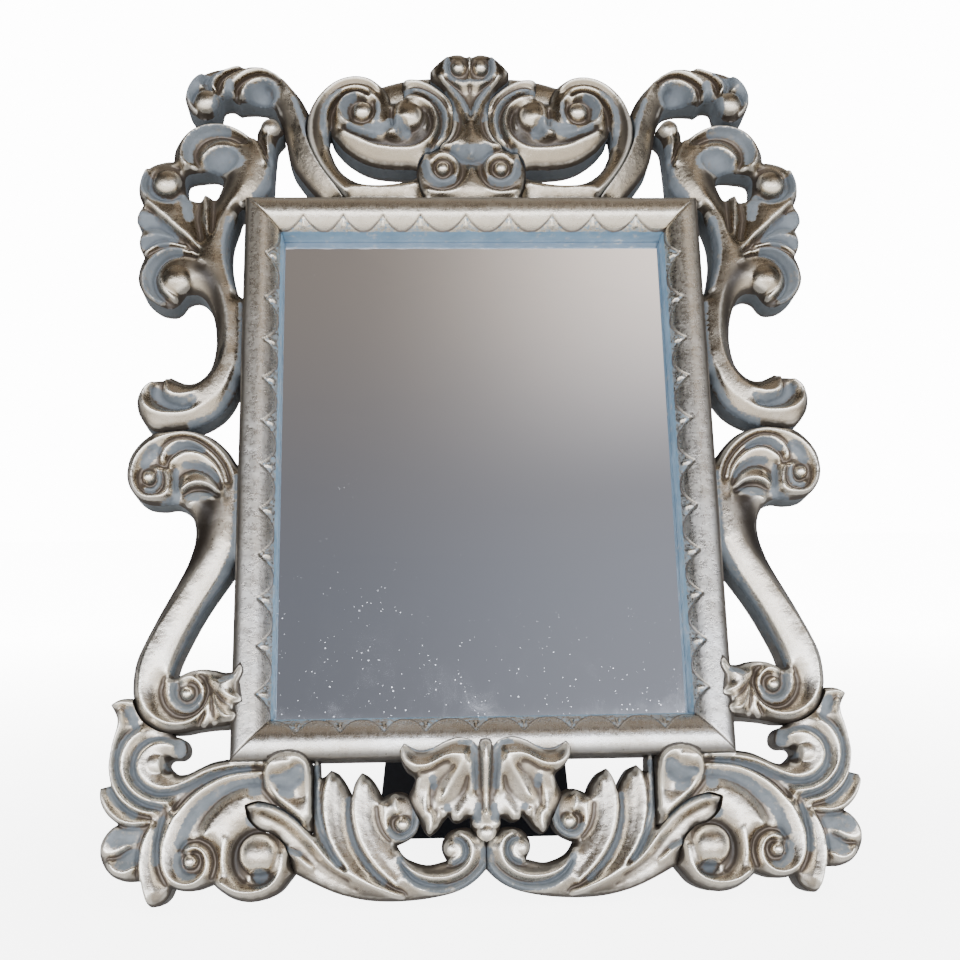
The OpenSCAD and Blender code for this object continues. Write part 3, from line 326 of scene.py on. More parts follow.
# carved lines, as height over the sight edge and points
LINES = {
    "crest_centre": [
        (2.5, [(-11.5, 226), (-13, 221), (-12.3, 215.5), (-9, 211.6), (-4, 210.3), (0, 210.6)]),
        (-1.9, [(-8, 226.5), (-10, 223), (-9.8, 218), (-7.5, 214.5), (-4, 213.4), (-1.2, 215.5), (-0.9, 220),
                (-2.5, 225), (-5.5, 227.2), (-8, 226.5)]),
        (1.5, [(0, 229), (0, 222), (0, 214)]),
        (-1, [(-20, 219), (-17, 214), (-14, 209.5)]),
        (-2.4, [(-12.5, 213), (-8, 209), (-3, 203), (0, 197)]),
        (-2.6, [(0, 209), (0, 204), (0, 197), (0, 190)]),
        (2.6, [(-16.5, 215), (-11.5, 209.5), (-6.5, 202.5), (-3, 195.5), (-0.8, 188)]),
        (-2, [(-19, 213), (-14, 207.5), (-9.5, 201), (-6.5, 193), (-6, 186), (-8, 179.5), (-12, 175)]),
        (1.8, [(-20, 211), (-15.5, 205.5), (-11.5, 199), (-9, 191), (-9.3, 184), (-12, 178), (-16, 173.8)]),
        (3.2, [(0, 185.5), (-3.5, 179.5), (-8.5, 174.8), (-14.5, 172.2)]),
        (3.8, [(0, 182), (-1, 176), (-1, 170), (0, 166.5)]),
        (-2.4, [(-15.5, 171.5), (-10, 169), (-6, 165.8), (0, 164)]),
        (2.2, [(-24.5, 170), (-22.8, 161), (-21, 156), (-16, 152.2), (-10.5, 153.5), (-7.4, 158.5), (-8, 164.5),
               (-12.5, 168.3), (-17.5, 167.8), (-20.3, 164)]),
        (-2, [(-26.5, 166), (-26.5, 158), (-23.5, 152), (-17.5, 149), (-10.5, 149.8), (-6, 154), (-4.6, 160),
              (-7, 165.5)]),
        (-1.8, [(-19, 161), (-18, 156.8), (-14.8, 155.2), (-11.3, 157.5), (-10.8, 162), (-13.8, 165.2),
                (-17.3, 164.4), (-19, 161)]),
        (2.6, [(0, 160), (-2.5, 154), (-7, 148.6), (-15, 146.2), (-24, 147.5)]),
        (0, [(0, 143), (-12, 143), (-25, 143.5)]),
    ],
    "crest_scroll": [
        (3.4, [(-65, 146), (-71.5, 152), (-77.5, 160), (-82, 169), (-84.3, 178), (-84, 188), (-81.3, 197),
               (-76, 205), (-69, 210.6), (-61, 212.8), (-53.5, 211.4), (-48.5, 207)]),
        (0.6, [(-76, 172), (-78.6, 180), (-79.4, 188), (-78, 195.4), (-74, 202.6), (-67.6, 208), (-60, 209.6),
               (-53, 208), (-48, 203)]),
        (2.4, [(-74.6, 180), (-75.9, 187), (-75.6, 193.6), (-73, 199.8), (-68.4, 204.9), (-62.6, 207.6),
               (-57, 207.3), (-52, 204.4), (-48.9, 199)]),
        (-4.2, [(-72.4, 181), (-73.4, 187.6), (-72.6, 194), (-69.8, 200), (-65, 204.2), (-59.4, 205.3),
                (-54.4, 203.4)]),
        (3.4, [(-66.4, 187), (-69.2, 191.6), (-69, 197.4), (-65.8, 202), (-61, 204.2), (-56.8, 203.6),
               (-54.4, 200.8)]),
        (2.2, [(-51.6, 187), (-49.2, 191), (-48.7, 196.4), (-50.2, 201), (-53.4, 204)]),
        (-1.2, [(-64.6, 190.2), (-65.9, 194.6), (-64.7, 199), (-61.6, 201.8), (-58, 202)]),
        (-3.6, [(-62.8, 190.6), (-63.8, 194.6), (-62.6, 198.4), (-59.6, 200.6), (-55.8, 200.2)]),
        (-2, [(-51.4, 199.4), (-50.8, 195), (-52, 190.6), (-56, 187.8), (-61, 188.4)]),
        (1.2, [(-64.6, 187), (-60.4, 184.4), (-55.6, 182.4), (-50.6, 181)]),
        (0.2, [(-55.6, 186), (-50, 184.6), (-44.6, 184.4), (-42.4, 187.6)]),
        (-4.2, [(-66.8, 184.6), (-61.6, 180.6), (-55.6, 178.2), (-49, 176.8), (-42, 175.2), (-35, 174.8),
                (-29.4, 176), (-24.8, 179), (-21.7, 183.6), (-20.9, 189), (-22.3, 194.6)]),
        (3.6, [(-67.4, 181.4), (-62, 178.6), (-57, 176.2), (-52.6, 173.6), (-47.6, 172.2), (-41, 171.4),
               (-34.6, 171.2), (-29, 172), (-24, 174.8), (-20.4, 178.8), (-18.6, 184), (-18.4, 189.6),
               (-20, 195.2), (-23.8, 199.4), (-29, 201.8), (-34, 201.6)]),
        (-3.4, [(-34, 204.2), (-28, 203.8), (-21.6, 200.8), (-17.2, 196), (-15.2, 189.6), (-15.6, 182.4),
                (-18, 176.4), (-22, 171.6)]),
        (3.6, [(-36.4, 198.6), (-39, 194.6), (-39.2, 190), (-38.4, 185.6), (-38.6, 181.6), (-43, 180.2)]),
        (-1.6, [(-24.8, 196), (-23.2, 190.6), (-24.4, 185.4)]),
        (-3.6, [(-29.8, 187), (-30, 183.4), (-31.8, 180), (-35.4, 177.6), (-40, 177), (-44.8, 178.8)]),
        (-2.8, [(-41, 196), (-41.4, 191), (-41.2, 186)]),
        (1.2, [(-35, 211.8), (-28, 212.4), (-21, 209.4), (-14, 203), (-10.8, 195.5)]),
        (2.2, [(-31, 206.2), (-24.5, 205), (-18, 201), (-13.6, 194.5), (-12.6, 187), (-14.5, 180),
               (-18.5, 174.3)]),
        (-1.4, [(-34, 208), (-27, 208.4), (-20, 205), (-13.6, 198.3), (-10.7, 190), (-11.2, 182)]),
        (3.2, [(-66, 148.4), (-57, 149), (-47, 148.6), (-37, 149.4), (-28, 150.6)]),
        (0.2, [(-63, 142), (-50, 142), (-38, 142), (-24, 142)]),
        (-2.8, [(-24.5, 152), (-25.2, 147), (-22.5, 142)]),
    ],
    "crest_ledge": [
    ],
    "corner_scroll": [
        (3.4, [(-119.5, 201.4), (-118.8, 206.4), (-114.8, 210.6), (-108.8, 212), (-103, 209.6)]),
        (-2.8, [(-122.8, 201), (-122.6, 207), (-118.8, 211.8), (-112.5, 214.8), (-106, 214.4), (-99.5, 211)]),
        (3, [(-129.6, 202.4), (-128.6, 207), (-128, 211), (-123.8, 214.6), (-117, 217.4), (-109, 217.6),
             (-102, 214)]),
        (2.6, [(-124.8, 202.6), (-125, 208), (-121.5, 212.6), (-115, 216.2), (-107, 216.4)]),
        (-2.8, [(-131.8, 201.8), (-132.3, 207), (-130.6, 212), (-126.4, 215.8), (-119.5, 218.6)]),
        (2.6, [(-133.6, 204.6), (-135.3, 209), (-133, 214), (-128, 217.6), (-121, 219.4)]),
        (-2.8, [(-137.2, 206.2), (-139.2, 210), (-137.4, 214.4), (-132.6, 218.2), (-127, 219.8)]),
        (2.4, [(-140.2, 206.4), (-143, 211), (-141, 215.2)]),
        (2.6, [(-143, 192), (-147, 197.4), (-148.2, 203.6), (-146.4, 209.6), (-142.6, 214)]),
        (-2.6, [(-134, 205), (-138.6, 206), (-143.4, 203.5), (-144.8, 198.4), (-142.4, 194)]),
        (1.6, [(-133, 205.4), (-131, 200), (-131.6, 195)]),
        (3.8, [(-104, 215), (-97.6, 209.6), (-92.4, 200.4), (-89, 190), (-86.3, 180), (-82, 169.6),
               (-76, 159.4), (-70.5, 151.5), (-64.5, 143.5)]),
        (-1, [(-106.6, 207.6), (-102.8, 201), (-99.6, 192)]),
    ],
    "upper_side_scroll": [
        (3.4, [(-147, 161.4), (-150.2, 167), (-149, 174.4), (-144.6, 180.6), (-137, 184), (-128.5, 184),
               (-120.4, 180.4), (-114.6, 175), (-110.2, 168)]),
        (-0.6, [(-143, 160.8), (-146.2, 166.6), (-145.2, 173), (-141, 178.8), (-134.4, 181.6), (-127, 181.4),
                (-119.8, 178), (-116.4, 174.8)]),
        (-3.2, [(-140.6, 161.6), (-143.2, 167), (-142, 172.6), (-138, 177.2), (-131.6, 179.4), (-125, 178.6),
                (-119, 175.4)]),
        (3.4, [(-138.6, 165.4), (-135.6, 170.2), (-129.6, 173.8), (-123.8, 172.6), (-119.4, 168.2)]),
        (3.8, [(-119, 172.5), (-115.6, 165), (-115.2, 156), (-118.4, 147.6), (-123.6, 139), (-128.4, 130.6),
               (-131.4, 120), (-133, 112)]),
        (3, [(-112.8, 176.5), (-108.8, 169.8), (-106.4, 162.4)]),
        (-2.4, [(-111.8, 178), (-107.6, 171), (-104.8, 162)]),
        (0.6, [(-104.6, 160), (-107.4, 152), (-112.4, 143)]),
        (2.4, [(-117.4, 139), (-122.6, 130), (-125.6, 120), (-126, 110), (-123.8, 99.6), (-120, 91)]),
        (2, [(-167.4, 159.8), (-169.6, 153), (-168.4, 146.2), (-163, 141.4), (-156, 139.6), (-150.2, 141.4)]),
        (-2.6, [(-151, 160.6), (-157, 162.2), (-163.4, 159), (-166.4, 153), (-164.8, 147), (-160.4, 143.4),
                (-154.6, 142.6), (-150, 145)]),
        (2.6, [(-166.5, 141.5), (-159.6, 134.6), (-151.6, 127.4), (-143.8, 120.6), (-137.6, 113)]),
        (0.6, [(-148, 141), (-145.6, 132), (-141, 122)]),
        (-3, [(-166.5, 138.6), (-159.8, 131.6), (-152.6, 124.6), (-145, 118), (-139.4, 112.8)]),
        (-2.8, [(-140, 141), (-140.6, 131), (-138.6, 120)]),
        (2.4, [(-137, 144.5), (-135.8, 134), (-134.8, 122)]),
        (-2.2, [(-132.8, 142), (-132.6, 133), (-133, 124)]),
        (-1, [(-170, 135), (-163, 134.4), (-156, 129.6)]),
        (-3.8, [(-168.5, 127.4), (-161, 128.4), (-153.8, 124.8), (-149.6, 121.4)]),
        (-0.6, [(-169, 121), (-162, 123.6), (-154, 121.6)]),
        (-3.8, [(-167.6, 114.6), (-161.6, 119.6), (-154, 120.6), (-147, 118.4)]),
        (0.2, [(-166.6, 112.6), (-160.6, 117), (-153, 118.2), (-146, 116.4)]),
        (-3.2, [(-166, 111.6), (-159, 115.8), (-151, 116.4), (-143.4, 113.6)]),
        (3, [(-139, 110.6), (-146, 114), (-155, 113.8), (-162, 108.8), (-166.2, 101), (-165.8, 93.6),
             (-161.4, 87), (-156, 85)]),
        (-0.4, [(-141, 110.6), (-147.6, 112.4), (-155, 111.8), (-160.6, 106.4), (-163.2, 99), (-161.8, 91.4),
                (-157, 86.4)]),
        (-3.2, [(-140, 109.6), (-147, 110.8), (-154, 109.8), (-158.8, 104.6), (-160.6, 98), (-159, 91.6),
                (-154.8, 86.8), (-150, 85)]),
        (2.6, [(-149.6, 86.4), (-155.6, 92), (-157.9, 98.6), (-155.6, 104.4), (-149.6, 108.6), (-142, 108.6),
               (-135, 104.4)]),
        (3.9, [(-138.6, 108), (-131.8, 101), (-127, 91.4), (-124.2, 80), (-123.4, 68), (-124.6, 56.6),
               (-129.2, 46.6), (-136.6, 39), (-145, 35.6), (-151.6, 37.6), (-152.6, 44.4)]),
        (1.4, [(-117.6, 86), (-116.9, 70), (-117, 52)]),
        (-2.8, [(-153.6, 45), (-155, 38.4), (-152.4, 33.6), (-146, 31)]),
        (3.2, [(-159, 43), (-163.6, 38.4), (-163.2, 32.4), (-158, 28), (-150, 26.6), (-141, 27.6),
               (-132.8, 31.4), (-126, 38), (-121.6, 47), (-119.6, 58)]),
        (-2.6, [(-158.6, 41), (-158.8, 35.6), (-154, 31.2), (-147, 29.8), (-140.6, 31)]),
        (3.4, [(-104.8, 182), (-105.8, 175), (-105.2, 168)]),
    ],
    "lower_side_scroll": [
        (2.8, [(-156, -15.2), (-161.6, -14.6), (-165.4, -10.6), (-167, -5), (-166.8, 0), (-164.6, 5.8),
               (-160, 11), (-154, 14.6), (-147.6, 16.2), (-141, 16.6), (-134.6, 14.6), (-127.4, 9.8),
               (-121.4, 2.6), (-118.2, -6), (-117.4, -20), (-118, -40)]),
        (-0.8, [(-163.6, 0.4), (-161.4, 5), (-157.4, 8.8), (-156, 5)]),
        (-2.1, [(-154.6, 0.8), (-154.6, 5), (-153, 9.2), (-149.6, 12.6), (-145.4, 14.2), (-141, 14.2),
                (-136.6, 12.8), (-131.6, 9.6), (-126.6, 4.6), (-122.6, -1.6), (-120.6, -8)]),
        (2.6, [(-152.9, 2.2), (-152.9, 6.2), (-150.8, 9.8), (-147.2, 12.2), (-143, 13), (-138.4, 12.2),
               (-133.2, 9.2), (-128, 4.6), (-124, -1), (-121.4, -8)]),
        (-0.6, [(-149, 6.6), (-144.6, 10), (-139.4, 10.4), (-134.4, 8.4), (-129.6, 4.8)]),
        (-2.1, [(-150.2, 1), (-149, 4), (-146, 6.9), (-142, 8.6), (-137.4, 8.6), (-132.6, 6.8), (-128, 3),
                (-124.4, -2.6), (-122.2, -9)]),
        (3, [(-148.6, 0.8), (-146.2, 4), (-142.2, 6.4), (-137.4, 6.6), (-132.6, 4.8), (-128, 1), (-124.4, -4.4),
             (-122.3, -11), (-121.5, -18)]),
        (1.2, [(-145.4, 1), (-140.4, 3), (-134.8, 2.2), (-130, -0.8)]),
        (-1.2, [(-143.6, -0.6), (-138.6, 0.8), (-133, 0), (-127.6, -4), (-124.6, -9.6)]),
        (-2.3, [(-145, -9), (-144.8, -5.2), (-142.4, -2.6), (-138.6, -1.4), (-134.8, -1.6), (-130.6, -3.6),
                (-126.8, -7), (-124.4, -11.4)]),
        (1.4, [(-141.6, -7), (-138.6, -4.6), (-134.6, -4.4), (-130.6, -6.4), (-127.4, -9.8)]),
        (3.4, [(-142.4, -12.2), (-139, -9.6), (-134.2, -8.8), (-129.6, -9.8), (-126, -12.6)]),
        (-3, [(-142.2, -14), (-139, -11.8), (-134.2, -11.2), (-129.4, -12.4), (-125.6, -15.4)]),
        (0.4, [(-140, -16), (-134.6, -13.8), (-129, -15)]),
        (2.2, [(-139.4, -19.4), (-135.2, -17.2), (-130.4, -15.9), (-126.6, -16.8)]),
        (-1.7, [(-145.4, -12.6), (-146.4, -8), (-147, -3.4), (-147.2, -0.6)]),
        (-2.3, [(-150.4, -0.4), (-154.6, 1.4), (-159, 1.2), (-162.4, -1), (-164, -5), (-163.2, -9.6),
                (-160.4, -12.6), (-157, -13.4), (-154, -12.2), (-152.4, -9.2), (-152.2, -5.8), (-153.4, -2.6)]),
        (0.8, [(-155.2, -0.8), (-153.9, -4), (-154, -8), (-156, -11.2), (-159, -11.6), (-161.4, -9.8)]),
        (-2.8, [(-156, -3.4), (-155.4, -6.6), (-157, -9.6), (-160, -9.6), (-161.8, -6.6)]),
        (3.4, [(-151, -2), (-149.6, -6), (-149, -10.4), (-150, -14), (-153.4, -15.4), (-156, -15.2)]),
        (-2.6, [(-147.6, -16), (-150, -18.6), (-155, -19)]),
        (4.2, [(-122.9, -17), (-122.9, -25), (-124.2, -33), (-127.4, -41), (-131.8, -49), (-137.4, -57.6),
               (-144.4, -68.6), (-151.2, -79.6), (-156.4, -91), (-158.4, -102), (-157.2, -111.6),
               (-152.8, -118.4), (-146, -122.4), (-138.2, -122.8), (-131.4, -119.8), (-126.6, -114)]),
        (1.8, [(-118.6, -42), (-124.4, -54), (-131.4, -66), (-138.6, -79), (-144, -92), (-147, -104)]),
        (-2.1, [(-146.4, -101), (-148.8, -108), (-147, -114.6), (-142, -119.4), (-135.6, -120), (-130, -116.6),
                (-127.2, -111), (-127.6, -105), (-131.6, -100.6)]),
        (3, [(-144.8, -103.6), (-144.4, -110), (-141, -115.4), (-135.4, -117.2), (-130.8, -114.2),
             (-129.2, -109), (-131, -104.2), (-135.2, -101.8), (-139.4, -103)]),
        (-1.7, [(-141.2, -104.4), (-141.8, -109.4), (-138.8, -113.6), (-134.4, -114), (-131.8, -110.4),
                (-132.6, -106.2), (-135.6, -104.6)]),
        (1, [(-141, -100.6), (-135, -99.2), (-129, -99.2), (-123.4, -101.2), (-118.4, -103)]),
        (5.6, [(-126, -104), (-120, -106), (-114.6, -104.6), (-111.4, -99)]),
        (5.4, [(-121.6, -108.4), (-116.6, -111.6), (-111, -113.4)]),
        (1, [(-123.4, -108.6), (-119.4, -113.6), (-114, -117)]),
        (5, [(-123.6, -110), (-121.6, -116.6), (-117.6, -121.2), (-114, -120.4)]),
        (-0.6, [(-125, -108), (-124.4, -116), (-123, -124)]),
        (3.4, [(-126, -111), (-126.6, -118), (-128.6, -124.4)]),
        (-1.4, [(-128.4, -118), (-131.6, -124.8)]),
    ],
    "base_corner": [
        (3, [(-141.6, -133.6), (-145, -131.9), (-149.4, -131.9), (-153.6, -134), (-156.6, -137.6),
             (-157.2, -142), (-155.4, -146.6), (-151.4, -150), (-146, -151.8), (-140, -151), (-133, -147.8),
             (-126, -144.4), (-117, -142.2), (-102, -141.4)]),
        (-2, [(-140.4, -130.6), (-146, -129.4), (-152.6, -130.2), (-157.8, -134.2), (-160, -140),
              (-159, -146.4), (-155, -151.4), (-149, -154.2), (-142, -154), (-134, -150.8), (-126, -146.8),
              (-115, -144.4), (-102, -143.8)]),
        (2.8, [(-156.6, -126.4), (-161.4, -130), (-164.4, -136), (-164.6, -143), (-161.8, -149.6),
               (-156.6, -154.6), (-150, -157.6), (-143, -158.4)]),
        (-2, [(-157.6, -123.4), (-163.6, -127.6), (-167, -134), (-167.4, -142.6), (-164.6, -150.2),
              (-158.8, -156.4), (-152, -160), (-145, -160.8)]),
        (2.8, [(-166.4, -117.4), (-167, -123.6), (-169.4, -130.4), (-170.2, -138), (-169.6, -145.6),
               (-166.8, -152.4), (-162, -157.8), (-155.6, -161.4), (-149, -162.6)]),
        (2, [(-170.6, -113.8), (-165.4, -112.6), (-160.6, -113.4)]),
        (-1.6, [(-166.6, -114.6), (-163.6, -119), (-160.6, -123)]),
        (-2.2, [(-170, -150.4), (-166, -157), (-159.4, -162.6), (-151, -165)]),
        (2.8, [(-174, -153), (-171, -159.6), (-166, -164.6), (-160, -167), (-152.6, -166.6)]),
        (-2.6, [(-166, -168), (-158, -169), (-151, -168)]),
        (2.4, [(-165.6, -169), (-170, -173.4), (-171.2, -178), (-168.6, -180.4), (-164.6, -179.2),
               (-160.6, -176.4)]),
        (0.2, [(-164.6, -173.6), (-158.6, -172.4)]),
        (-2.2, [(-169.6, -182.4), (-164.6, -181.4), (-159, -178.2)]),
        (2.4, [(-168.2, -183), (-166.4, -187), (-161.6, -188.6), (-156.2, -186)]),
        (0, [(-162, -183.6), (-158, -182)]),
        (-2.6, [(-151.2, -167.6), (-154.8, -175), (-156, -184), (-155.2, -191)]),
        (3.2, [(-150.2, -167.6), (-153.6, -175), (-154.8, -184), (-153.8, -193), (-150.6, -200.6)]),
        (1.4, [(-148.4, -170), (-150.6, -179), (-150.2, -189), (-148, -197)]),
        (-2.8, [(-144.8, -162.8), (-147, -170), (-147.6, -178.6), (-146.6, -187), (-143, -194)]),
        (3.8, [(-101, -146), (-109, -145.8), (-117, -147.2), (-124.4, -150.2), (-131.4, -155), (-137.8, -161.6),
               (-142.4, -169.4), (-144.8, -178), (-144.4, -185.4), (-141.6, -190.8), (-137.4, -193.6),
               (-132.6, -194), (-129, -192.6), (-125.6, -188.8), (-124.8, -184), (-126.6, -179.8),
               (-130.6, -177.8), (-134.4, -179)]),
        (0.4, [(-103, -149.2), (-112, -150), (-120, -153.2), (-127.6, -158.8), (-133.4, -166), (-137, -174),
               (-138.8, -181), (-138.2, -186.6), (-134.6, -190.8), (-130.8, -190.6)]),
        (-3.4, [(-101, -144.6), (-112, -144.8), (-123, -147.8), (-133, -153.6), (-140.4, -161)]),
        (-1.4, [(-103, -151), (-111.6, -152), (-119.8, -156.4), (-126.6, -163.2), (-130.6, -170.6),
                (-131.8, -174.6)]),
        (2.2, [(-108, -156.4), (-116.4, -160), (-122.6, -167), (-126.6, -173.4)]),
        (2.6, [(-117, -174), (-118.4, -182), (-117.4, -189)]),
        (-3.2, [(-137.8, -179.4), (-135, -176.2), (-130.4, -175), (-126, -176.6), (-122.8, -180.4),
                (-121.8, -185.6), (-123.4, -191.4)]),
        (-2.4, [(-131, -180), (-128.6, -181.2), (-127.8, -184.4), (-128.8, -187.8), (-131.8, -189),
                (-135, -187.8), (-136.6, -184.6), (-136, -181.8)]),
        (-3.6, [(-108.6, -193), (-112, -189), (-113.4, -183), (-111.6, -176.8), (-107, -172.8), (-101, -171.9),
                (-95.6, -174)]),
        (3.2, [(-119.6, -193), (-114, -196.6), (-107, -197.8), (-100.4, -196.6), (-95.4, -193.4),
               (-91.8, -187.6), (-91.4, -180.6)]),
        (-2.2, [(-106.8, -194.2), (-103, -194.9), (-98.6, -194), (-95.8, -191)]),
        (-0.6, [(-100.6, -151), (-101, -146), (-98.8, -140.6), (-94.6, -137.4), (-89.6, -136.2)]),
        (5.6, [(-99.2, -149.6), (-98.2, -144.2), (-95.6, -140.4), (-91.6, -138.6), (-87, -138.6), (-83, -140.2),
               (-80.4, -144), (-79.8, -152), (-79.6, -166)]),
        (5.2, [(-99, -150), (-96, -154.6), (-91.4, -158.8), (-86.6, -162.8), (-81.6, -167.6)]),
        (-1.6, [(-101.2, -152.6), (-96.6, -158.6), (-90, -163.6), (-84, -168)]),
        (6.2, [(-95.2, -144), (-91.6, -142.4), (-88.2, -142.4)]),
        (2.4, [(-96.6, -148.2), (-93.6, -147.6), (-90, -147.8), (-87.6, -145), (-84.8, -143.2),
               (-82.4, -144.4)]),
        (2, [(-94, -152), (-88.6, -153), (-83.6, -149)]),
        (3.4, [(-86, -158), (-82.6, -157)]),
    ],
    "base_leaf": [
        (3.4, [(-107.8, -160.6), (-101.6, -160.4), (-95, -162.6), (-88, -166.6), (-81.4, -172), (-75.6, -179.6),
               (-68.8, -186.8), (-60, -192.4), (-49, -197), (-38, -200.6)]),
        (-1.3, [(-104, -158.8), (-96, -160.4), (-88.6, -164), (-82, -169), (-78.8, -171.8)]),
        (-1.9, [(-106.4, -167), (-99, -171.6), (-91, -176.8), (-84.6, -181), (-79, -186.6), (-70, -193),
                (-58, -198)]),
        (1.6, [(-90.6, -180), (-84, -183), (-77.6, -188)]),
        (-1, [(-102, -164.6), (-92, -169.8), (-82.6, -178), (-74, -186.8), (-62, -194)]),
        (-1.5, [(-77.4, -142), (-77.4, -158), (-75.8, -170), (-71.6, -179.6), (-66.4, -187.8)]),
        (2, [(-75.6, -146), (-76, -158), (-74.8, -168), (-70.8, -178), (-66, -186.6)]),
        (-1.9, [(-73, -149), (-74.8, -156), (-74.8, -164), (-72.6, -174), (-68.6, -182.4), (-64, -189)]),
        (3.6, [(-70.4, -146.6), (-73, -153), (-73.4, -163), (-71.4, -173), (-67, -182.4), (-61.4, -189.6),
               (-53, -195), (-44, -198.6)]),
        (1.6, [(-67.4, -150), (-68.6, -162), (-66.4, -174), (-61, -184), (-53, -192)]),
        (-2.3, [(-61.4, -155), (-62, -166), (-60, -176), (-55.6, -184.6), (-49.6, -191.8), (-43, -197),
                (-36, -200.6)]),
        (3.6, [(-56.6, -147.4), (-59.2, -154), (-59.6, -164), (-57.6, -174), (-53.4, -182.6), (-47.6, -190),
               (-40.6, -196.4)]),
        (2.2, [(-53.6, -151), (-54.8, -162), (-52.6, -174), (-47, -184), (-40, -192)]),
        (3, [(-39.6, -182), (-37, -187.4), (-31, -191.6), (-23, -193.4), (-15, -192.2), (-9, -188),
             (-6.6, -182), (-8, -176.8), (-12.4, -174.2)]),
        (-1.6, [(-38.6, -187), (-33.6, -193.4), (-26, -196.6), (-17, -196.6), (-9, -193.4), (-3.4, -188),
                (-1.2, -182)]),
        (2, [(-40, -186), (-36.4, -193), (-29.4, -198.2), (-20, -199.2), (-11, -197), (-4.6, -192.4),
             (-0.6, -187.4)]),
        (-1.7, [(-27, -189.6), (-19, -189), (-12.4, -187.4), (-9.4, -182.6), (-10.6, -178), (-14, -176.6)]),
        (2.2, [(-16.6, -186.6), (-12.4, -184.6), (-11.6, -180.6), (-14, -178), (-17.2, -179.4)]),
        (0.8, [(-3.6, -176.6), (-2.4, -182)]),
        (4.6, [(-41.4, -157.4), (-41, -161.4), (-40.2, -165.2)]),
        (-1.5, [(-34.6, -157.6), (-33.2, -163), (-33, -168), (-34.8, -172), (-38, -173.8), (-41.2, -172.8),
                (-42.8, -170), (-42.4, -167.6), (-39.8, -166.8)]),
        (3.2, [(-33.2, -156.8), (-31, -161.4), (-30.4, -167), (-31.8, -172.4), (-35.8, -175.6), (-40.4, -176.2),
               (-44, -173.6), (-45.4, -169.6), (-45.8, -165), (-46.4, -160.6)]),
        (-1.1, [(-49.6, -162), (-49, -167.6), (-46.8, -172.8), (-43, -177)]),
    ],
    "centre_leaf": [
        (7.8, [(-37.4, -136.2), (-38.2, -140), (-36.4, -143.2), (-33, -145), (-29.6, -145.4), (-26, -144.8),
               (-22, -143), (-18.4, -140.8), (-14, -139.6), (-9.6, -140)]),
        (4.4, [(-34.6, -138.6), (-32, -141), (-28.4, -141.8), (-24.4, -140.8), (-20.6, -138.6), (-15.4, -136.6),
               (-9.6, -136.4)]),
        (2.8, [(-36.6, -135), (-33.4, -136.8), (-30, -137.8), (-26, -137.6), (-22, -136.2), (-18, -134.2),
               (-13.4, -132.8), (-9, -133), (-5.4, -134.4)]),
        (3, [(-39.2, -140), (-37, -144.8), (-33, -147.4), (-28.6, -147.4), (-24.6, -146.4)]),
        (3, [(-24, -146.2), (-20.4, -143.8), (-16.6, -143)]),
        (3.8, [(-30.6, -150.4), (-31, -154), (-30, -159)]),
        (5, [(-24.6, -149), (-26.4, -154), (-27.6, -160), (-28, -166)]),
        (5.6, [(-25.6, -164.6), (-25, -169), (-25.8, -173.6)]),
        (2.2, [(-22.8, -163.4), (-21.4, -167), (-23, -172)]),
        (2.4, [(-24.6, -153), (-25, -158), (-24.8, -162.4)]),
        (3.8, [(-20.6, -164), (-18.4, -166)]),
        (3.2, [(-14.4, -144.8), (-17, -147.4), (-20, -150), (-22.2, -153.6), (-23.2, -157.4), (-23.8, -160.8),
               (-23, -162.6), (-20, -162), (-16.6, -160.8), (-13, -158.4), (-10.4, -155.4), (-8.8, -152.4),
               (-8, -149.6)]),
        (7.4, [(-9.6, -142), (-12.6, -147), (-15.4, -152), (-18, -156), (-20.4, -159)]),
        (3, [(-8.8, -153.6), (-10.4, -157), (-13.2, -160.6), (-15, -163.4), (-15.3, -167), (-14.8, -169.6)]),
        (6.8, [(-7.2, -144), (-6.4, -150), (-6.6, -156)]),
        (4.4, [(-8.6, -159.6), (-11, -164), (-13, -167.6)]),
        (3.4, [(-3.6, -158), (-5, -162), (-6.8, -166.4), (-7.4, -168.4)]),
        (2.4, [(-4.6, -137.6), (-4.8, -146), (-4.2, -154), (-3.4, -160)]),
        (3, [(-2.9, -135), (-2.6, -142), (-2.3, -150), (-1.9, -157), (-1.7, -164)]),
        (8, [(0, -134.6), (0, -148), (0, -160), (0, -167)]),
        (6.4, [(-1.6, -136), (-1.3, -146), (-1, -156)]),
        (3.4, [(-3.8, -164), (-4.4, -168)]),
        (3.8, [(-6.2, -169.6), (-3.8, -171.4), (-1.6, -171), (0, -170.4)]),
    ],
}

# eyes of the volutes, as x, y, radius and top
BALLS = {
    "crest_centre": [(-5.8, 220, 4, 3.4), (-15.2, 160.4, 3.6, 3.2)],
    "crest_scroll": [(-56.8, 194, 5.2, 3.4), (-32.6, 191.4, 7.6, 4.6)],
    "corner_scroll": [(-138, 198.6, 6.6, 5.4)],
    "upper_side_scroll": [(-156.4, 151.4, 7.2, 6), (-104.6, 183.4, 5.2, 4.4), (-149.4, 97.6, 8.4, 5.6)],
    "lower_side_scroll": [(-158.8, -5.2, 3.2, 2.8), (-136.6, -109.2, 3, 3)],
    "base_corner": [(-102.2, -181.4, 8.8, 7.2), (-132.4, -184, 3, 3.8), (-150.6, -140.8, 5.4, 3.6)],
    "base_leaf": [(-37.8, -169.8, 3.4, 4.2), (-15.4, -180.8, 4, 2.4)],
    "centre_leaf": [(0, -174, 4.6, 4.6)],
}

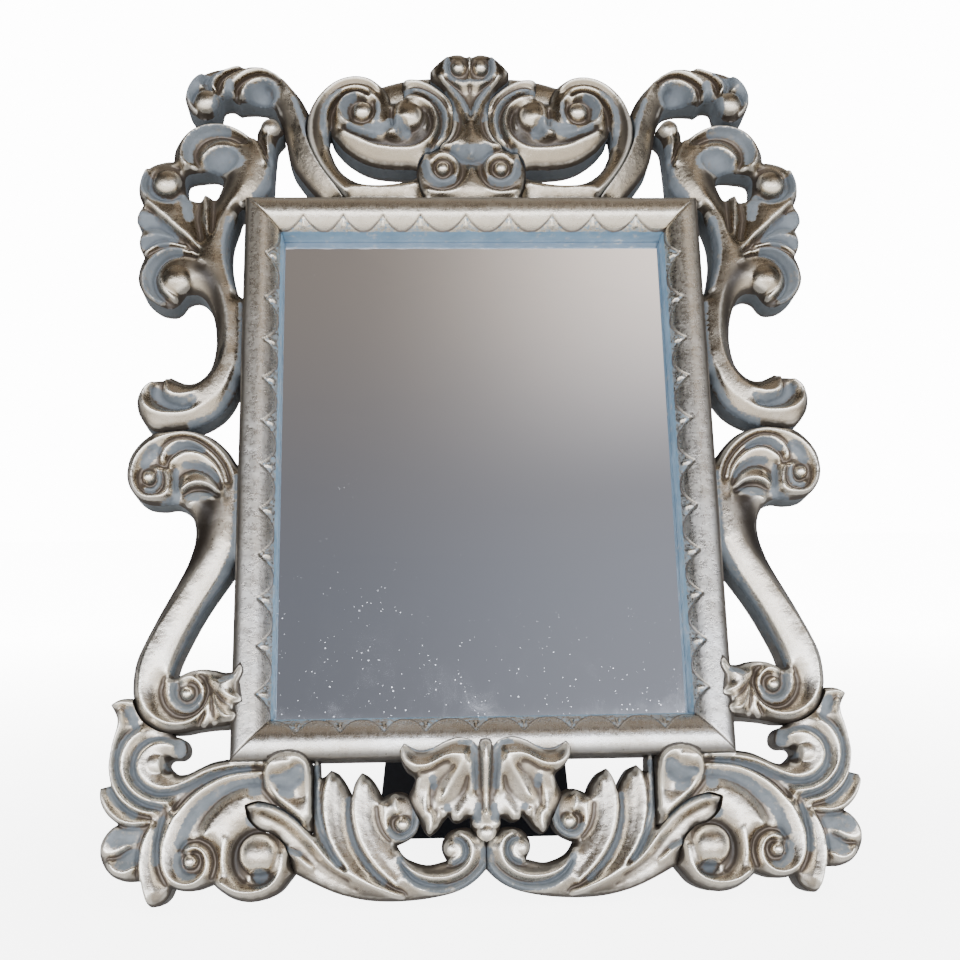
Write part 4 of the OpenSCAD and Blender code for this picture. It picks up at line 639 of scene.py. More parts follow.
# hollows, as x, y, half width, half height and depth
HOLLOWS = {
    "crest_scroll": [(-36, 184.4, 3.6, 4, 1.6)],
    "corner_scroll": [(-110, 204, 7.5, 6.5, 4.5)],
    "upper_side_scroll": [(-128.6, 164, 8.4, 6.4, 4), (-167, 152.4, 2.6, 6, 1.5)],
    "base_corner": [(-144.4, -141.6, 2.8, 4.4, 3.4), (-101.4, -191, 4.6, 3.4, 3.8)],
}

# brushed wash, as paths of x, y and half width
WASH = {
    "crest_centre": [
        [(-11.6, 224, 1.4), (-12, 218, 1.6), (-8.5, 213, 1.6), (-2, 211.8, 1.6)],
        [(-9, 207.4, 1.6), (-4.2, 200, 1.6), (-1.6, 193, 1.4)],
        [(-14, 206, 1.2), (-9.6, 198, 1.3), (-7.6, 189, 1.3)],
        [(-8, 170, 3), (-2, 168, 4)],
        [(-24, 163, 1.8), (-22.4, 156, 2), (-16, 152.4, 2.2), (-10, 154, 1.8)],
    ],
    "crest_scroll": [
        [(-75.6, 175, 1.2), (-77, 184, 1.5), (-77, 192, 1.4), (-74.4, 199.6, 1.2), (-69, 205.4, 1)],
        [(-65.6, 190, 1.5), (-67, 195, 1.6), (-65.2, 199.6, 1.5), (-61, 202.6, 1.3)],
        [(-38.6, 187, 2.4), (-37.6, 183, 3.2), (-34.4, 182, 2.6)],
        [(-54.4, 184.8, 1.4), (-49, 183.4, 2.6), (-44.4, 185, 2.2), (-42, 190, 1)],
        [(-37, 205, 3)],
        [(-64, 185.6, 1.2), (-58, 182.8, 1.2), (-51, 180.8, 1.6)],
        [(-49.6, 188, 1), (-48.4, 193, 1), (-48.8, 198, 1)],
        [(-33, 206.4, 1.2), (-24, 205.4, 1.1), (-15.5, 197, 1.1), (-13.4, 187, 1.2), (-16, 178, 1.2)],
        [(-22, 170, 2.2), (-18, 172, 1.8)],
        [(-72.8, 176, 1.4), (-68, 167, 2)],
    ],
    "corner_scroll": [
        [(-145.6, 201, 2.4), (-145, 208, 2.8), (-140, 213.6, 2.4)],
        [(-137, 207.6, 1.8), (-136.4, 213, 1.8), (-131, 217, 1.6)],
        [(-113, 203, 5), (-107, 204, 6)],
        [(-127, 203, 2), (-126, 209, 1.8)],
        [(-92.4, 199, 1.2), (-88.4, 188, 1.6), (-85.6, 178, 1.4)],
        [(-131.6, 200, 2), (-132.6, 194, 2)],
    ],
    "upper_side_scroll": [
        [(-146.2, 165, 1.8), (-146.6, 172, 2), (-142, 179, 2), (-134, 182, 1.8), (-126, 181, 1.4)],
        [(-134, 163, 4), (-127, 165, 5.5), (-121.6, 163, 4)],
        [(-167.6, 155, 2.2), (-166.6, 148, 2.4), (-161.4, 143, 1.8), (-154, 141, 1.8), (-149, 144, 2)],
        [(-103.4, 173, 1.6), (-103.6, 160, 2), (-106, 151, 2.2), (-111, 144, 2)],
        [(-149, 113.2, 1.8), (-157, 111, 2.2), (-162.4, 103, 2.6), (-162.6, 94, 2.6), (-157.4, 87, 2)],
        [(-168, 133, 3.4), (-160, 127, 4), (-152, 121, 2)],
        [(-166, 119, 3), (-156, 119.6, 2.4)],
        [(-158, 38.6, 2.4), (-152, 33.4, 2.6), (-144, 31.8, 2.4), (-139, 33.6, 2)],
        [(-123.8, 130, 1.8), (-125.6, 118, 1.8), (-124.6, 106, 1.6), (-121, 94, 1.6)],
        [(-117.2, 84, 1.2), (-116.6, 70, 1.2), (-117, 54, 1.4), (-120.6, 40, 1.5), (-128, 27, 1.5),
         (-140, 21.4, 1.5)],
        [(-146.6, 140, 2.4), (-145, 132, 2)],
    ],
    "lower_side_scroll": [
        [(-161.6, 1, 1.6), (-159.4, 5.4, 2.4), (-156.4, 8.4, 2.4)],
        [(-149.6, 7, 1.2), (-145, 10.4, 1.4), (-139, 10.6, 1.4), (-133, 8, 1.2)],
        [(-142, 0.6, 1.4), (-136.6, 0.8, 1.6), (-130.6, -1.6, 1.4), (-126, -6.6, 1.1)],
        [(-140, -15.4, 1.6), (-135, -15.4, 2.2), (-129.6, -14.8, 1.6)],
        [(-154.4, -2.6, 0.8), (-153.9, -7.4, 1), (-156.4, -11.4, 1.1), (-160, -11.4, 1)],
        [(-146.2, -2, 1.2), (-146.2, -9, 1.2), (-145.6, -15.6, 1.8), (-151, -19.6, 2.2)],
        [(-116.8, -6, 1.2), (-116.4, -24, 1.5), (-117.2, -42, 1.6), (-122.6, -56, 1.8), (-130.6, -71, 1.8),
         (-138, -87, 2), (-142.6, -99, 2)],
        [(-142.8, -105, 1.2), (-142.8, -111, 1.4), (-139, -115.4, 1.6), (-133.6, -115.6, 1.6),
         (-130.4, -110.6, 1.2)],
        [(-120, -104.6, 1.2), (-114.6, -103.2, 1.2)],
    ],
    "base_corner": [
        [(-142, -131.4, 1), (-150, -129.8, 1.2), (-157.4, -134, 1.4), (-159.6, -143, 1.6),
         (-154.6, -151.2, 1.6), (-146, -154, 1.5), (-136, -151.8, 1.5), (-124, -146.6, 1.5),
         (-108, -144.2, 1.5)],
        [(-158.4, -125, 1.2), (-165, -131.6, 1.4), (-167, -140, 1.4), (-164.6, -150, 1.4), (-157.6, -157, 1.4),
         (-147, -160.2, 1.4)],
        [(-162.6, -117, 2.2), (-160.6, -122, 2)],
        [(-139.4, -132, 1.8), (-139, -136, 2)],
        [(-158.6, -163.4, 1.4), (-166.6, -157.6, 1.4), (-170.6, -151, 1.2)],
        [(-165.6, -173.6, 3.4), (-158.6, -172, 3.4)],
        [(-162, -184, 3), (-157.6, -181.4, 3)],
        [(-146, -165, 1.2), (-148, -174, 1.4), (-148.2, -184, 1.5)],
        [(-137.4, -176, 2), (-133, -166, 2.2), (-127.4, -159.4, 2.2), (-119.6, -153.6, 2), (-111, -150.6, 1.8),
         (-103, -149.6, 1.6)],
        [(-138.4, -181, 1.3), (-138, -186.4, 1.4), (-134.6, -190.4, 1.3), (-130.4, -190.4, 1)],
        [(-101.4, -191, 2.8)],
        [(-96, -148.8, 1.5), (-91, -150, 2.8), (-86.6, -149, 3.6), (-84, -145.6, 2.4)],
        [(-91, -154, 2.6), (-88, -156, 1.4)],
        [(-104.6, -153.6, 2.6)],
        [(-106, -167, 2.4)],
        [(-144.4, -142, 1.8)],
    ],
    "base_leaf": [
        [(-77, -144, 1.4), (-77, -158, 1.6), (-75, -170, 1.6), (-70, -181, 1.5), (-66.4, -187, 1.2)],
        [(-62.6, -158, 1), (-62.4, -168, 1.1), (-59.6, -178, 1.2), (-54, -187, 1.2), (-46, -195, 1.1)],
        [(-32.4, -160, 1.3), (-31.8, -168, 1.5), (-35.4, -174.4, 1.5), (-41, -175.2, 1.4), (-44, -171.6, 1.1)],
        [(-39.4, -185, 1.4), (-36, -191.4, 1.8), (-30.6, -195.6, 1.8), (-24, -197.6, 1.7), (-16, -197.8, 1.6),
         (-8, -195, 1.6), (-2, -189, 1.6), (-1, -182, 1.6)],
        [(-14, -177, 1.1), (-10.8, -178.6, 1.2), (-9.6, -182, 1.3), (-11.2, -185.6, 1.2), (-15, -187, 1.1)],
        [(-103, -159.6, 1), (-92, -162.4, 1), (-83, -168.6, 1.2)],
        [(-92, -178.6, 1.1), (-84, -182, 1.2)],
    ],
    "centre_leaf": [
        [(-5.2, -137, 1.4), (-5.3, -146, 1.5), (-4.8, -154, 1.3)],
        [(-3.6, -162, 1.3), (-4.2, -168, 1.8)],
        [(-33, -136.6, 0.9), (-28, -137.4, 0.8), (-23, -136.4, 0.8)],
        [(-24, -150, 1.6), (-23.6, -154, 1.2)],
        [(-17.6, -163, 1.6)],
        [(-12, -134.4, 0.9), (-7, -134.6, 1)],
    ],
}

# painted shade on slopes turned from the light, as paths of x, y and half width
SHADE_PATHS = {
    "crest_scroll": [
        [(-67, 186.4, 1.8), (-60, 180.6, 2), (-52, 177.6, 2), (-43, 175.4, 1.6), (-34, 175.4, 1.6),
         (-27, 178, 2)],
        [(-24.6, 193, 2.4), (-24, 185, 2.6), (-29, 179.6, 2.2)],
        [(-81, 172, 2.2), (-82, 184, 2.4), (-78.6, 196, 2)],
    ],
    "corner_scroll": [
        [(-104.6, 203, 2.6), (-100.6, 195, 3), (-97.4, 186, 2.6)],
    ],
    "upper_side_scroll": [
        [(-124.6, 165, 2.6), (-123.8, 156, 3), (-127, 147, 3), (-131, 139, 2.4)],
        [(-139, 104, 3), (-133.4, 97.6, 3.6), (-129.6, 88, 3.4), (-128, 76, 3), (-129, 64, 2.6)],
        [(-118.4, 166, 1.4), (-120, 160, 1.6)],
    ],
    "lower_side_scroll": [
        [(-130, -14, 4.6), (-130, -22, 5.8), (-132, -32, 6), (-135, -42, 5.6), (-140, -50, 5), (-146, -58, 4.2),
         (-151.5, -66, 3.6), (-156, -74, 3), (-160, -84, 2.2), (-162.6, -96, 1.8)],
    ],
    "base_corner": [
        [(-112.6, -189, 1.8), (-113, -181, 2), (-108, -174, 2), (-101, -172.4, 1.8)],
    ],
    "base_leaf": [
        [(-56, -199.6, 1.8), (-44, -202.6, 2), (-32, -203, 1.8)],
        [(-30, -189.4, 1.4), (-20, -190.6, 1.4), (-11, -188.4, 1)],
    ],
}

# how far the skin puffs up between its lines, and the radius at which a carved edge is rounded over
PUFF = 0.07
ROUND = 2.0
# height of each carving at its outline
EDGE = {name: -3.0 for name in OUTLINES}
EDGE["crest_ledge"] = -9.5
EDGE["centre_leaf"] = -0.5
# carvings drawn on both sides of the middle line
WHOLE = ("crest_centre", "centre_leaf")
# carvings that lap over the moulding, each with the window x0, x1, y0, y1 in which it may
LAPPING = {"lower_side_scroll": (-124, -108, -126, -96), "base_corner": (-99, -78, -160, -132),
           "centre_leaf": (-45, 45, -180, -120)}
# neighbours that a carving stays clear of
BESIDE = {"crest_scroll": ("crest_centre",), "crest_ledge": ("crest_centre", "crest_scroll"),
          "corner_scroll": ("crest_scroll",), "base_leaf": ("centre_leaf",),
          "base_corner": ("lower_side_scroll", "base_leaf")}
# the CAD nodes that each carving stands for, left then right
PAIRED = ("corner_scroll", "upper_side_scroll", "lower_side_scroll", "base_corner", "base_leaf")
CARVINGS = {"crest_centre": ("crest_centre",),
            "crest_scroll": ("crest_scroll_left", "crest_scroll_right"),
            "crest_ledge": ("crest_scroll_left", "crest_scroll_right"),
            **{name: (name + "_left", name + "_right") for name in PAIRED},
            "centre_leaf": ("apron_centre_leaf",)}


# ---------- carving a piece ----------

# height from which the walls carry wash, and the span over which it comes in
PAINT_FROM, PAINT_OVER = -110, 50
THIN = 0.4  # least thickness of a carving
# tones (wash, hollow darkening, rim highlight, painted shade) of bare wood and of the painted sight edge
BARE = (0.0, 0.9, 0.0, 0.3)
PAINTED = (1, 0, 0, 0)


def ribbon(X, Y, paths, default):
    """soft bands along the paths, 1 on them and 0 away from them"""
    made = np.zeros(X.shape)
    for path in paths:
        c = smooth([p[:3] if len(p) > 2 else (*p, default) for p in path], steps=5)
        for x, y, w in c:
            i0, i1 = np.searchsorted(X[0], (x - 2 * w, x + 2 * w))
            j0, j1 = np.searchsorted(Y[:, 0], (y - 2 * w, y + 2 * w))
            if i0 < i1 and j0 < j1:
                d = np.hypot(X[j0:j1, i0:i1] - x, Y[j0:j1, i0:i1] - y) / w
                part = made[j0:j1, i0:i1]
                np.maximum(part, np.clip(1.6 - d, 0, 1), out=part)
    return made


def lap_window(name, X, Y, fade):
    """1 where the carving may lie over the moulding, 0 away from there"""
    x0, x1, y0, y1 = LAPPING.get(name, (0, 0, 0, 0))
    deep = np.minimum(np.minimum(X - x0, x1 - X), np.minimum(Y - y0, y1 - Y))
    return np.clip(1 + deep / fade, 0, 1) if fade else (deep > 0).astype(float)


def tool_marks(X, Y):
    """slight unevenness left by the gouge and the gesso"""
    total = np.zeros(X.shape)
    rng = np.random.default_rng(7)
    for scale, high in ((14.0, 0.06), (6.0, 0.03), (2.6, 0.018)):
        for _ in range(5):
            a = rng.uniform(0, math.pi)
            px, py = rng.uniform(0, 6.28, 2)
            u = (X * math.cos(a) + Y * math.sin(a)) / scale * 6.28
            v = (-X * math.sin(a) + Y * math.cos(a)) / scale * 6.28
            total += high / 2.5 * np.sin(u + px + 1.3 * np.sin(v * 0.7 + py))
    return total


def relief(name, loops, low, size):
    """grid of a carving and its height, before its edge is rounded"""
    lines = list(LINES[name])
    if name in WHOLE:
        lines += [(z, [(-x, y) for x, y in p]) for z, p in LINES[name]]
    lines += [(EDGE[name], np.vstack([q, q[:1]])) for q in loops]
    z = stretched(lines, low, size, PUFF)
    ny, nx = z.shape
    X, Y = np.meshgrid(low[0] + STEP * np.arange(nx), low[1] + STEP * np.arange(ny))
    for side in ((-1, 1) if name in WHOLE else (1,)):
        for bx, by, r, top in BALLS.get(name, ()):
            dd = ((X - side * bx) ** 2 + (Y - by) ** 2) / r ** 2
            h = top - 0.8 * r * (1 - np.sqrt(np.clip(1 - dd, 0, 1)))
            z = np.where(dd < 1, np.maximum(z, h), z)
        for bx, by, rx, ry, deep in HOLLOWS.get(name, ()):
            dd = ((X - side * bx) / rx) ** 2 + ((Y - by) / ry) ** 2
            z = z - deep * np.sqrt(np.clip(1 - dd, 0, 1))
    return X, Y, blurred(z, 0.5)


def kept_clear(name, X, Y, dist):
    """edge distance cut back from the moulding, a neighbour and the middle line"""
    if name not in WHOLE or name == "crest_centre":
        outside = np.maximum(np.abs(X) - HALF_W - WIDE, np.abs(Y) - HALF_H - WIDE) - 0.03
        dist = np.where(lap_window(name, X, Y, 0) > 0, dist, np.minimum(dist, outside))
    for other in BESIDE.get(name, ()):
        theirs = edge_distance(X, Y, [smooth(q, closed=True) for q in OUTLINES[other]])
        dist = np.minimum(dist, -theirs - 0.06)
    if name == "base_leaf":
        dist = np.minimum(dist, -X - 0.04)
    return dist


def carve(name):
    """grid, edge distance, and place and tones of one left-hand carving"""
    loops = [smooth(q, closed=True) for q in OUTLINES[name]]
    around = np.vstack(loops)
    low, high = np.floor(around.min(0)) - 5, np.ceil(around.max(0)) + 5
    if name == "base_leaf":
        high[0] = 1.0
    X, Y, z = relief(name, loops, low, high - low)
    dist = edge_distance(X, Y, loops)
    # painted shade: dark along the outline and on the listed slopes turned from the light
    painted_shade = np.maximum(0.85 * np.clip((3.4 - dist) / 2.0, 0, 1),
                      blurred(ribbon(X, Y, SHADE_PATHS.get(name, ()), 2.0), 1.4))
    into_round = 1 - np.clip(dist, 0, ROUND) / ROUND
    z = z - ROUND * (1 - np.sqrt(np.clip(1 - into_round ** 2, 0, 1)))
    if name in LAPPING:
        z = z + lift_over(X, Y) * (1 if name in WHOLE else lap_window(name, X, Y, 6))
    z = z + tool_marks(X, Y)
    near = blurred(z, 1.3)
    # hollows darken, partly as antique glaze and partly as painted shade; raised ridges take a painted
    # highlight
    cavity = np.clip((near - z) / 0.85 + (blurred(z, 4.5) - z) / 7.0, 0, 1)
    rim = np.clip((z - near) / 0.9, 0, 1)
    paths = list(WASH.get(name, ()))
    if name in WHOLE:
        paths += [[(-p[0], *p[1:]) for p in path] for path in paths]
    wash = blurred(ribbon(X, Y, paths, 2.0), 0.8)
    return X, Y, kept_clear(name, X, Y, dist), np.dstack([X, Y, z, wash, cavity, rim, painted_shade * (1 - wash)])


def face_rings(inside, number, id_h, id_v):
    """cells of the grid cut along the edge, and the pieces of the edge itself"""
    total = inside[:-1, :-1].astype(int) + inside[:-1, 1:] + inside[1:, 1:] + inside[1:, :-1]
    j, i = np.where(total == 4)
    faces = np.stack([number[j, i], number[j, i + 1], number[j + 1, i + 1], number[j + 1, i]], 1).tolist()
    rims = []
    for j, i in zip(*np.where((total > 0) & (total < 4))):
        corner = ((j, i), (j, i + 1), (j + 1, i + 1), (j + 1, i))
        cross = (id_h[j, i], id_v[j, i + 1], id_h[j + 1, i], id_v[j, i])
        ring, leaving, first = [], None, None
        for k in range(4):
            if inside[corner[k]]:
                ring.append(number[corner[k]])
            if inside[corner[k]] != inside[corner[(k + 1) % 4]]:
                ring.append(cross[k])
                if inside[corner[k]]:
                    leaving = cross[k]
                elif leaving is not None:
                    rims.append((leaving, cross[k]))
                    leaving = None
                else:
                    first = cross[k]
        if leaving is not None:
            rims.append((leaving, first))
        faces.append(ring)
    return faces, rims


def edge_tones(ids, rims, pos):
    """painted shade on the walls, with some hollow darkening; the wash shows on those that face down or the
    middle line
    """
    outward = {}
    for a, b in rims:
        d = pos[b, :2] - pos[a, :2]
        m = np.array([d[1], -d[0]]) / max(np.hypot(*d), 1e-9)
        for v in (a, b):
            outward[v] = outward.get(v, 0) + m
    tones = np.zeros((len(ids), 4))
    for k, v in enumerate(ids):
        m = outward[v] / max(np.hypot(*outward[v]), 1e-9)
        seen = np.clip((pos[v, 1] - PAINT_FROM) / PAINT_OVER, 0, 1)
        under = np.clip(-m[1] * 1.6 - 0.1, 0, 1) * seen
        inner = np.clip(m[0] * 1.5 - 0.3, 0, 1) * seen
        tones[k] = (max(under, inner), 0.35, 0, 1)
    return tones


def solid(name, X, Y, dist, fields, mirrored):
    """closed mesh: carved face, walls and back"""
    dist = np.where(np.abs(dist) < 0.02, 0.02, dist)
    inside = dist > 0
    number = -np.ones(dist.shape, int)
    number[inside] = np.arange(inside.sum())
    verts = [fields[inside]]
    count = int(inside.sum())

    def crossings(a, b, da, db):
        t = (da / (da - db))[:, None]
        return a + t * (b - a)

    before = (np.s_[:, :-1], np.s_[:-1])
    after = (np.s_[:, 1:], np.s_[1:])
    crossed = []
    for a, b in zip(before, after):
        cut = inside[a] != inside[b]
        ids = -np.ones(cut.shape, int)
        ids[cut] = count + np.arange(cut.sum())
        crossed.append(ids)
        verts.append(crossings(fields[a][cut], fields[b][cut], dist[a][cut], dist[b][cut]))
        count += int(cut.sum())
    verts = np.vstack(verts)
    faces, rims = face_rings(inside, number, *crossed)
    carved = len(faces)
    n = len(verts)
    pos = verts[:, :3]
    floor = moulding_top_at(pos[:, 0], pos[:, 1]) if name in LAPPING else np.full(n, BACK)
    floor = np.maximum(floor, table_z(pos[:, 1]))
    top = np.maximum(pos[:, 2], floor + THIN)
    all_pos = [np.column_stack([pos[:, :2], top])]
    tones = [verts[:, 3:7]]
    edge_ids = sorted({v for rim in rims for v in rim})
    ids = np.array(edge_ids)
    wall_tone = edge_tones(ids, rims, pos)
    base = n
    previous = {v: v for v in edge_ids}
    for share in (0.06, 0.35, 0.7):
        level = top[ids] + (floor[ids] - top[ids]) * share
        all_pos.append(np.column_stack([pos[ids, :2], level]))
        # down each wall the hollow darkening grows and the painted shade eases
        tones.append(wall_tone * (1, 1 + share, 1, 1 - 0.6 * share))
        current = {v: base + k for k, v in enumerate(edge_ids)}
        faces += [[previous[b], previous[a], current[a], current[b]] for a, b in rims]
        previous = current
        base += len(ids)
    all_pos.append(np.column_stack([pos[:, :2], floor]))
    tones.append(np.tile(BARE, (n, 1)))
    faces += [[previous[b], previous[a], base + a, base + b] for a, b in rims]
    faces += [[base + v for v in reversed(f)] for f in faces[:carved]]
    co = np.vstack(all_pos)
    if mirrored:
        co[:, 0] *= -1
        faces = [f[::-1] for f in faces]
    return co, faces, np.vstack(tones)


def make_mesh(name, co, faces, tone):
    """mesh object of points in the flat frame, with tones for wash, hollow darkening, rim highlight and painted
    shade
    """
    mesh = bpy.data.meshes.new(name)
    mesh.from_pydata(stand(co).tolist(), [], faces)
    mesh.validate(clean_customdata=False)
    mesh.update()
    layer = mesh.attributes.new("tone", "FLOAT_COLOR", "POINT")
    layer.data.foreach_set("color", np.clip(tone, 0, 1).astype(np.float32).ravel())
    mesh.shade_smooth()
    obj = bpy.data.objects.new(name, mesh)
    bpy.context.collection.objects.link(obj)
    return obj


def own(obj, body, material, node):
    """puts the piece on its body and slot in place of the CAD node"""
    obj.data.materials.clear()
    obj.data.materials.append(material)
    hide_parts(node)
    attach(obj, body)
    return obj


# ---------- materials ----------

class Nodes:
    """short hand for building a node tree"""

    def __init__(self, tree, where="Object"):
        tree.nodes.clear()
        self.nodes, self.links = tree.nodes, tree.links
        self.where = self.nodes.new("ShaderNodeTexCoord").outputs[where]

    def put(self, node, key, value):
        if value is None:
            return
        if isinstance(value, bpy.types.NodeSocket):
            self.links.new(value, node.inputs[key])
        else:
            node.inputs[key].default_value = value

    def new(self, kind, inputs=(), **settings):
        """node of this kind, with its inputs as pairs of key and value"""
        node = self.nodes.new("ShaderNode" + kind)
        for key, value in settings.items():
            setattr(node, key, value)
        for key, value in inputs:
            self.put(node, key, value)
        return node

    def noise(self, scale, detail=4, rough=0.55, stretch=None, twist=0.0):
        where = self.where
        if stretch:
            where = self.new("Mapping", (("Vector", where), ("Scale", stretch))).outputs[0]
        node = self.new("TexNoise", (("Vector", where), ("Scale", scale), ("Detail", detail),
                                     ("Roughness", rough), ("Distortion", twist)))
        return node.outputs["Fac"]

    def cells(self, scale):
        return self.new("TexVoronoi", (("Vector", self.where), ("Scale", scale))).outputs["Distance"]

    def axes(self, where=None):
        return self.new("SeparateXYZ", ((0, where or self.where),)).outputs

    def math(self, op, a, b=0.0, clamp=False):
        return self.new("Math", ((0, a), (1, b)), operation=op, use_clamp=clamp).outputs[0]

    def span(self, value, a, b, c=0.0, d=1.0, kind="LINEAR"):
        inputs = (("Value", value), ("From Min", a), ("From Max", b), ("To Min", c), ("To Max", d))
        return self.new("MapRange", inputs, interpolation_type=kind).outputs["Result"]

    def mix(self, fac, a, b, blend="MIX"):
        return self.new("Mix", ((0, fac), (6, a), (7, b)), data_type="RGBA", blend_type=blend).outputs[2]

    def bump(self, height, strength, distance, normal=None):
        return self.new("Bump", (("Height", height), ("Strength", strength), ("Distance", distance),
                                 ("Normal", normal))).outputs[0]

    def ray(self, kind):
        return self.new("LightPath").outputs[kind]


class Shade(Nodes):
    """a principled material in the making"""

    def __init__(self, name):
        self.mat = bpy.data.materials.new(name)
        self.mat.use_nodes = True
        super().__init__(self.mat.node_tree)
        self.bsdf = self.new("BsdfPrincipled")
        self.out = self.new("OutputMaterial", (("Surface", self.bsdf.outputs[0]),))

    def tone(self):
        node = self.new("Attribute", attribute_name="tone")
        split = self.new("SeparateColor", ((0, node.outputs["Color"]),))
        return split.outputs[0], split.outputs[1], split.outputs[2], node.outputs["Alpha"]

    def finish(self, **sockets):
        for key, value in sockets.items():
            self.put(self.bsdf, key.replace("_", " "), value)
        return self.mat


def rgb(r, g, b):
    return (r, g, b, 1.0)


def silver_leaf(name, cast, aloft, paint_dark, paint_light):
    """champagne silver leaf over dark bole, with a grey-blue wash in the hollows; the leaf is multiplied by
    cast, and by aloft towards the top of the frame, as painted shade"""
    s = Shade(name)
    wash, cavity, rim, painted_shade_tone = s.tone()
    cloud = s.noise(32, 5, 0.62)
    fine = s.noise(700, 3, 0.6)
    glint = s.noise(1900, 2, 0.6)
    brush = s.noise(330, 4, 0.6, (0.6, 1.0, 1.9), 0.5)
    brush2 = s.noise(290, 4, 0.6, (1.8, 1.0, 0.6), 0.7)
    grain = s.math("ADD", s.math("MULTIPLY", brush, 0.5), s.math("MULTIPLY", brush2, 0.5))
    # the leaf goes darker towards the top of the frame, as painted shade
    high = s.span(s.axes()[2], 0.10, 0.32)
    leaf = s.mix(s.span(cloud, 0.35, 0.68), rgb(0.53, 0.475, 0.40), rgb(0.75, 0.72, 0.67))
    leaf = s.mix(high, leaf, s.mix(cloud, rgb(0.33 * aloft, 0.28 * aloft, 0.205 * aloft),
                                   rgb(0.52 * aloft, 0.465 * aloft, 0.385 * aloft)))
    leaf = s.mix(s.span(grain, 0.40, 0.56, 0.26, 0.0), leaf, rgb(0.34, 0.29, 0.23))
    leaf = s.mix(1.0, leaf, cast, "MULTIPLY")
    bole = s.mix(cloud, rgb(0.060, 0.044, 0.032), rgb(0.125, 0.095, 0.070))
    # darker in the hollows, partly antique glaze and partly painted shade; near-black painted shade on shaded
    # slopes, outlines and walls; a painted highlight on the rims, fainter towards the top
    hollow_glaze_and_shade = s.math("ADD", s.math("MULTIPLY", cavity, 1.1), s.math("MULTIPLY", fine, 0.4))
    hollow_glaze_and_shade = s.span(hollow_glaze_and_shade, 0.40, 0.95)
    colour = s.mix(s.math("MULTIPLY", hollow_glaze_and_shade, 0.9), leaf, bole)
    colour = s.mix(painted_shade_tone, colour, s.mix(cloud, rgb(0.017, 0.013, 0.009), rgb(0.042, 0.032, 0.023)))
    bright = s.span(s.math("SUBTRACT", rim, s.math("MULTIPLY", grain, 0.25)), 0.08, 0.42)
    bright = s.math("MULTIPLY", bright, s.span(high, 0.0, 1.0, 0.85, 0.45))
    colour = s.mix(bright, colour, rgb(0.95, 0.88, 0.74))
    # wash, brushed on with an uneven edge
    ragged = s.math("ADD", wash, s.span(s.math("ADD", brush, fine), 0.7, 1.3, -0.22, 0.22))
    rubbed = s.span(s.noise(170, 5, 0.7), 0.56, 0.70, 1.0, 0.35)
    cover = s.math("MULTIPLY", s.span(ragged, 0.30, 0.56), rubbed)
    paint = s.mix(s.span(s.noise(75, 5, 0.65), 0.35, 0.68), paint_dark, paint_light)
    # the wash is lighter low down and darker towards the top, as painted light and shade, and darker in its
    # hollows as painted shade
    paint_lit_below = s.mix(1.0, paint, rgb(1.35, 1.35, 1.32), "MULTIPLY")
    paint = s.mix(s.math("MULTIPLY", high, 0.5), paint_lit_below, paint_dark)
    paint = s.mix(s.span(cavity, 0.2, 0.8, 0.0, 0.5), paint, rgb(0.05, 0.06, 0.07))
    colour = s.mix(cover, colour, paint)
    # small dark pits
    pits = s.math("MULTIPLY", s.span(s.cells(480), 0.07, 0.12, 1.0, 0.0), s.span(s.noise(30, 2), 0.60, 0.70))
    colour = s.mix(s.math("MULTIPLY", pits, 0.7), colour, rgb(0.05, 0.04, 0.03))
    metal = 1.0
    for what, less in ((cover, 0.95), (hollow_glaze_and_shade, 0.4), (painted_shade_tone, 0.6)):
        metal = s.math("SUBTRACT", metal, s.math("MULTIPLY", what, less), True)
    rough = s.span(grain, 0.36, 0.64, 0.21, 0.35)
    rough = s.math("ADD", rough, s.math("MULTIPLY", hollow_glaze_and_shade, 0.12))
    rough = s.math("ADD", rough, s.math("MULTIPLY", painted_shade_tone, 0.08))
    rough = s.math("ADD", rough, s.math("MULTIPLY", cover, 0.3), True)
    normal = s.bump(grain, 0.10, 0.0006)
    normal = s.bump(s.math("ADD", fine, s.math("MULTIPLY", pits, -1.5)), 0.22, 0.0004, normal)
    normal = s.bump(glint, 0.38, 0.0002, normal)
    return s.finish(Base_Color=colour, Metallic=metal, Roughness=rough, Normal=normal)


def looking_glass():
    """mirror glass with a faint film, and dust and haze on its lower part"""
    s = Shade("looking_glass")
    smear = s.noise(9, 4, 0.6, (0.6, 1, 1.6), 1.4)
    uneven = s.math("ADD", s.cells(430), s.math("MULTIPLY", s.noise(120, 2), 0.5))
    dust = s.span(uneven, 0.28, 0.36, 1.0, 0.0)
    patch = s.span(s.noise(22, 3), 0.56, 0.74)
    share = s.new("TexCoord").outputs["Generated"]
    low = s.span(s.axes(share)[2], 0.03, 0.30, 1.0, 0.0)
    specks = s.math("MULTIPLY", dust, s.math("ADD", s.math("MULTIPLY", patch, 0.6), low, True))
    haze = s.span(s.noise(34, 6, 0.75, (1.0, 1.0, 0.6), 0.8), 0.48, 0.74, 0.0, 0.20)
    specks = s.math("ADD", specks, s.math("MULTIPLY", low, haze), True)
    film = s.span(smear, 0.5, 0.8, 0.0, 0.16)
    colour = s.mix(film, rgb(0.83, 0.83, 0.86), rgb(0.62, 0.65, 0.72))
    colour = s.mix(specks, colour, rgb(0.97, 0.98, 1.0))
    rough = s.math("ADD", s.span(smear, 0.4, 0.8, 0.015, 0.07), s.math("MULTIPLY", specks, 0.5))
    return s.finish(Base_Color=colour, Metallic=1.0, Roughness=rough, Normal=s.bump(smear, 0.004, 0.001))


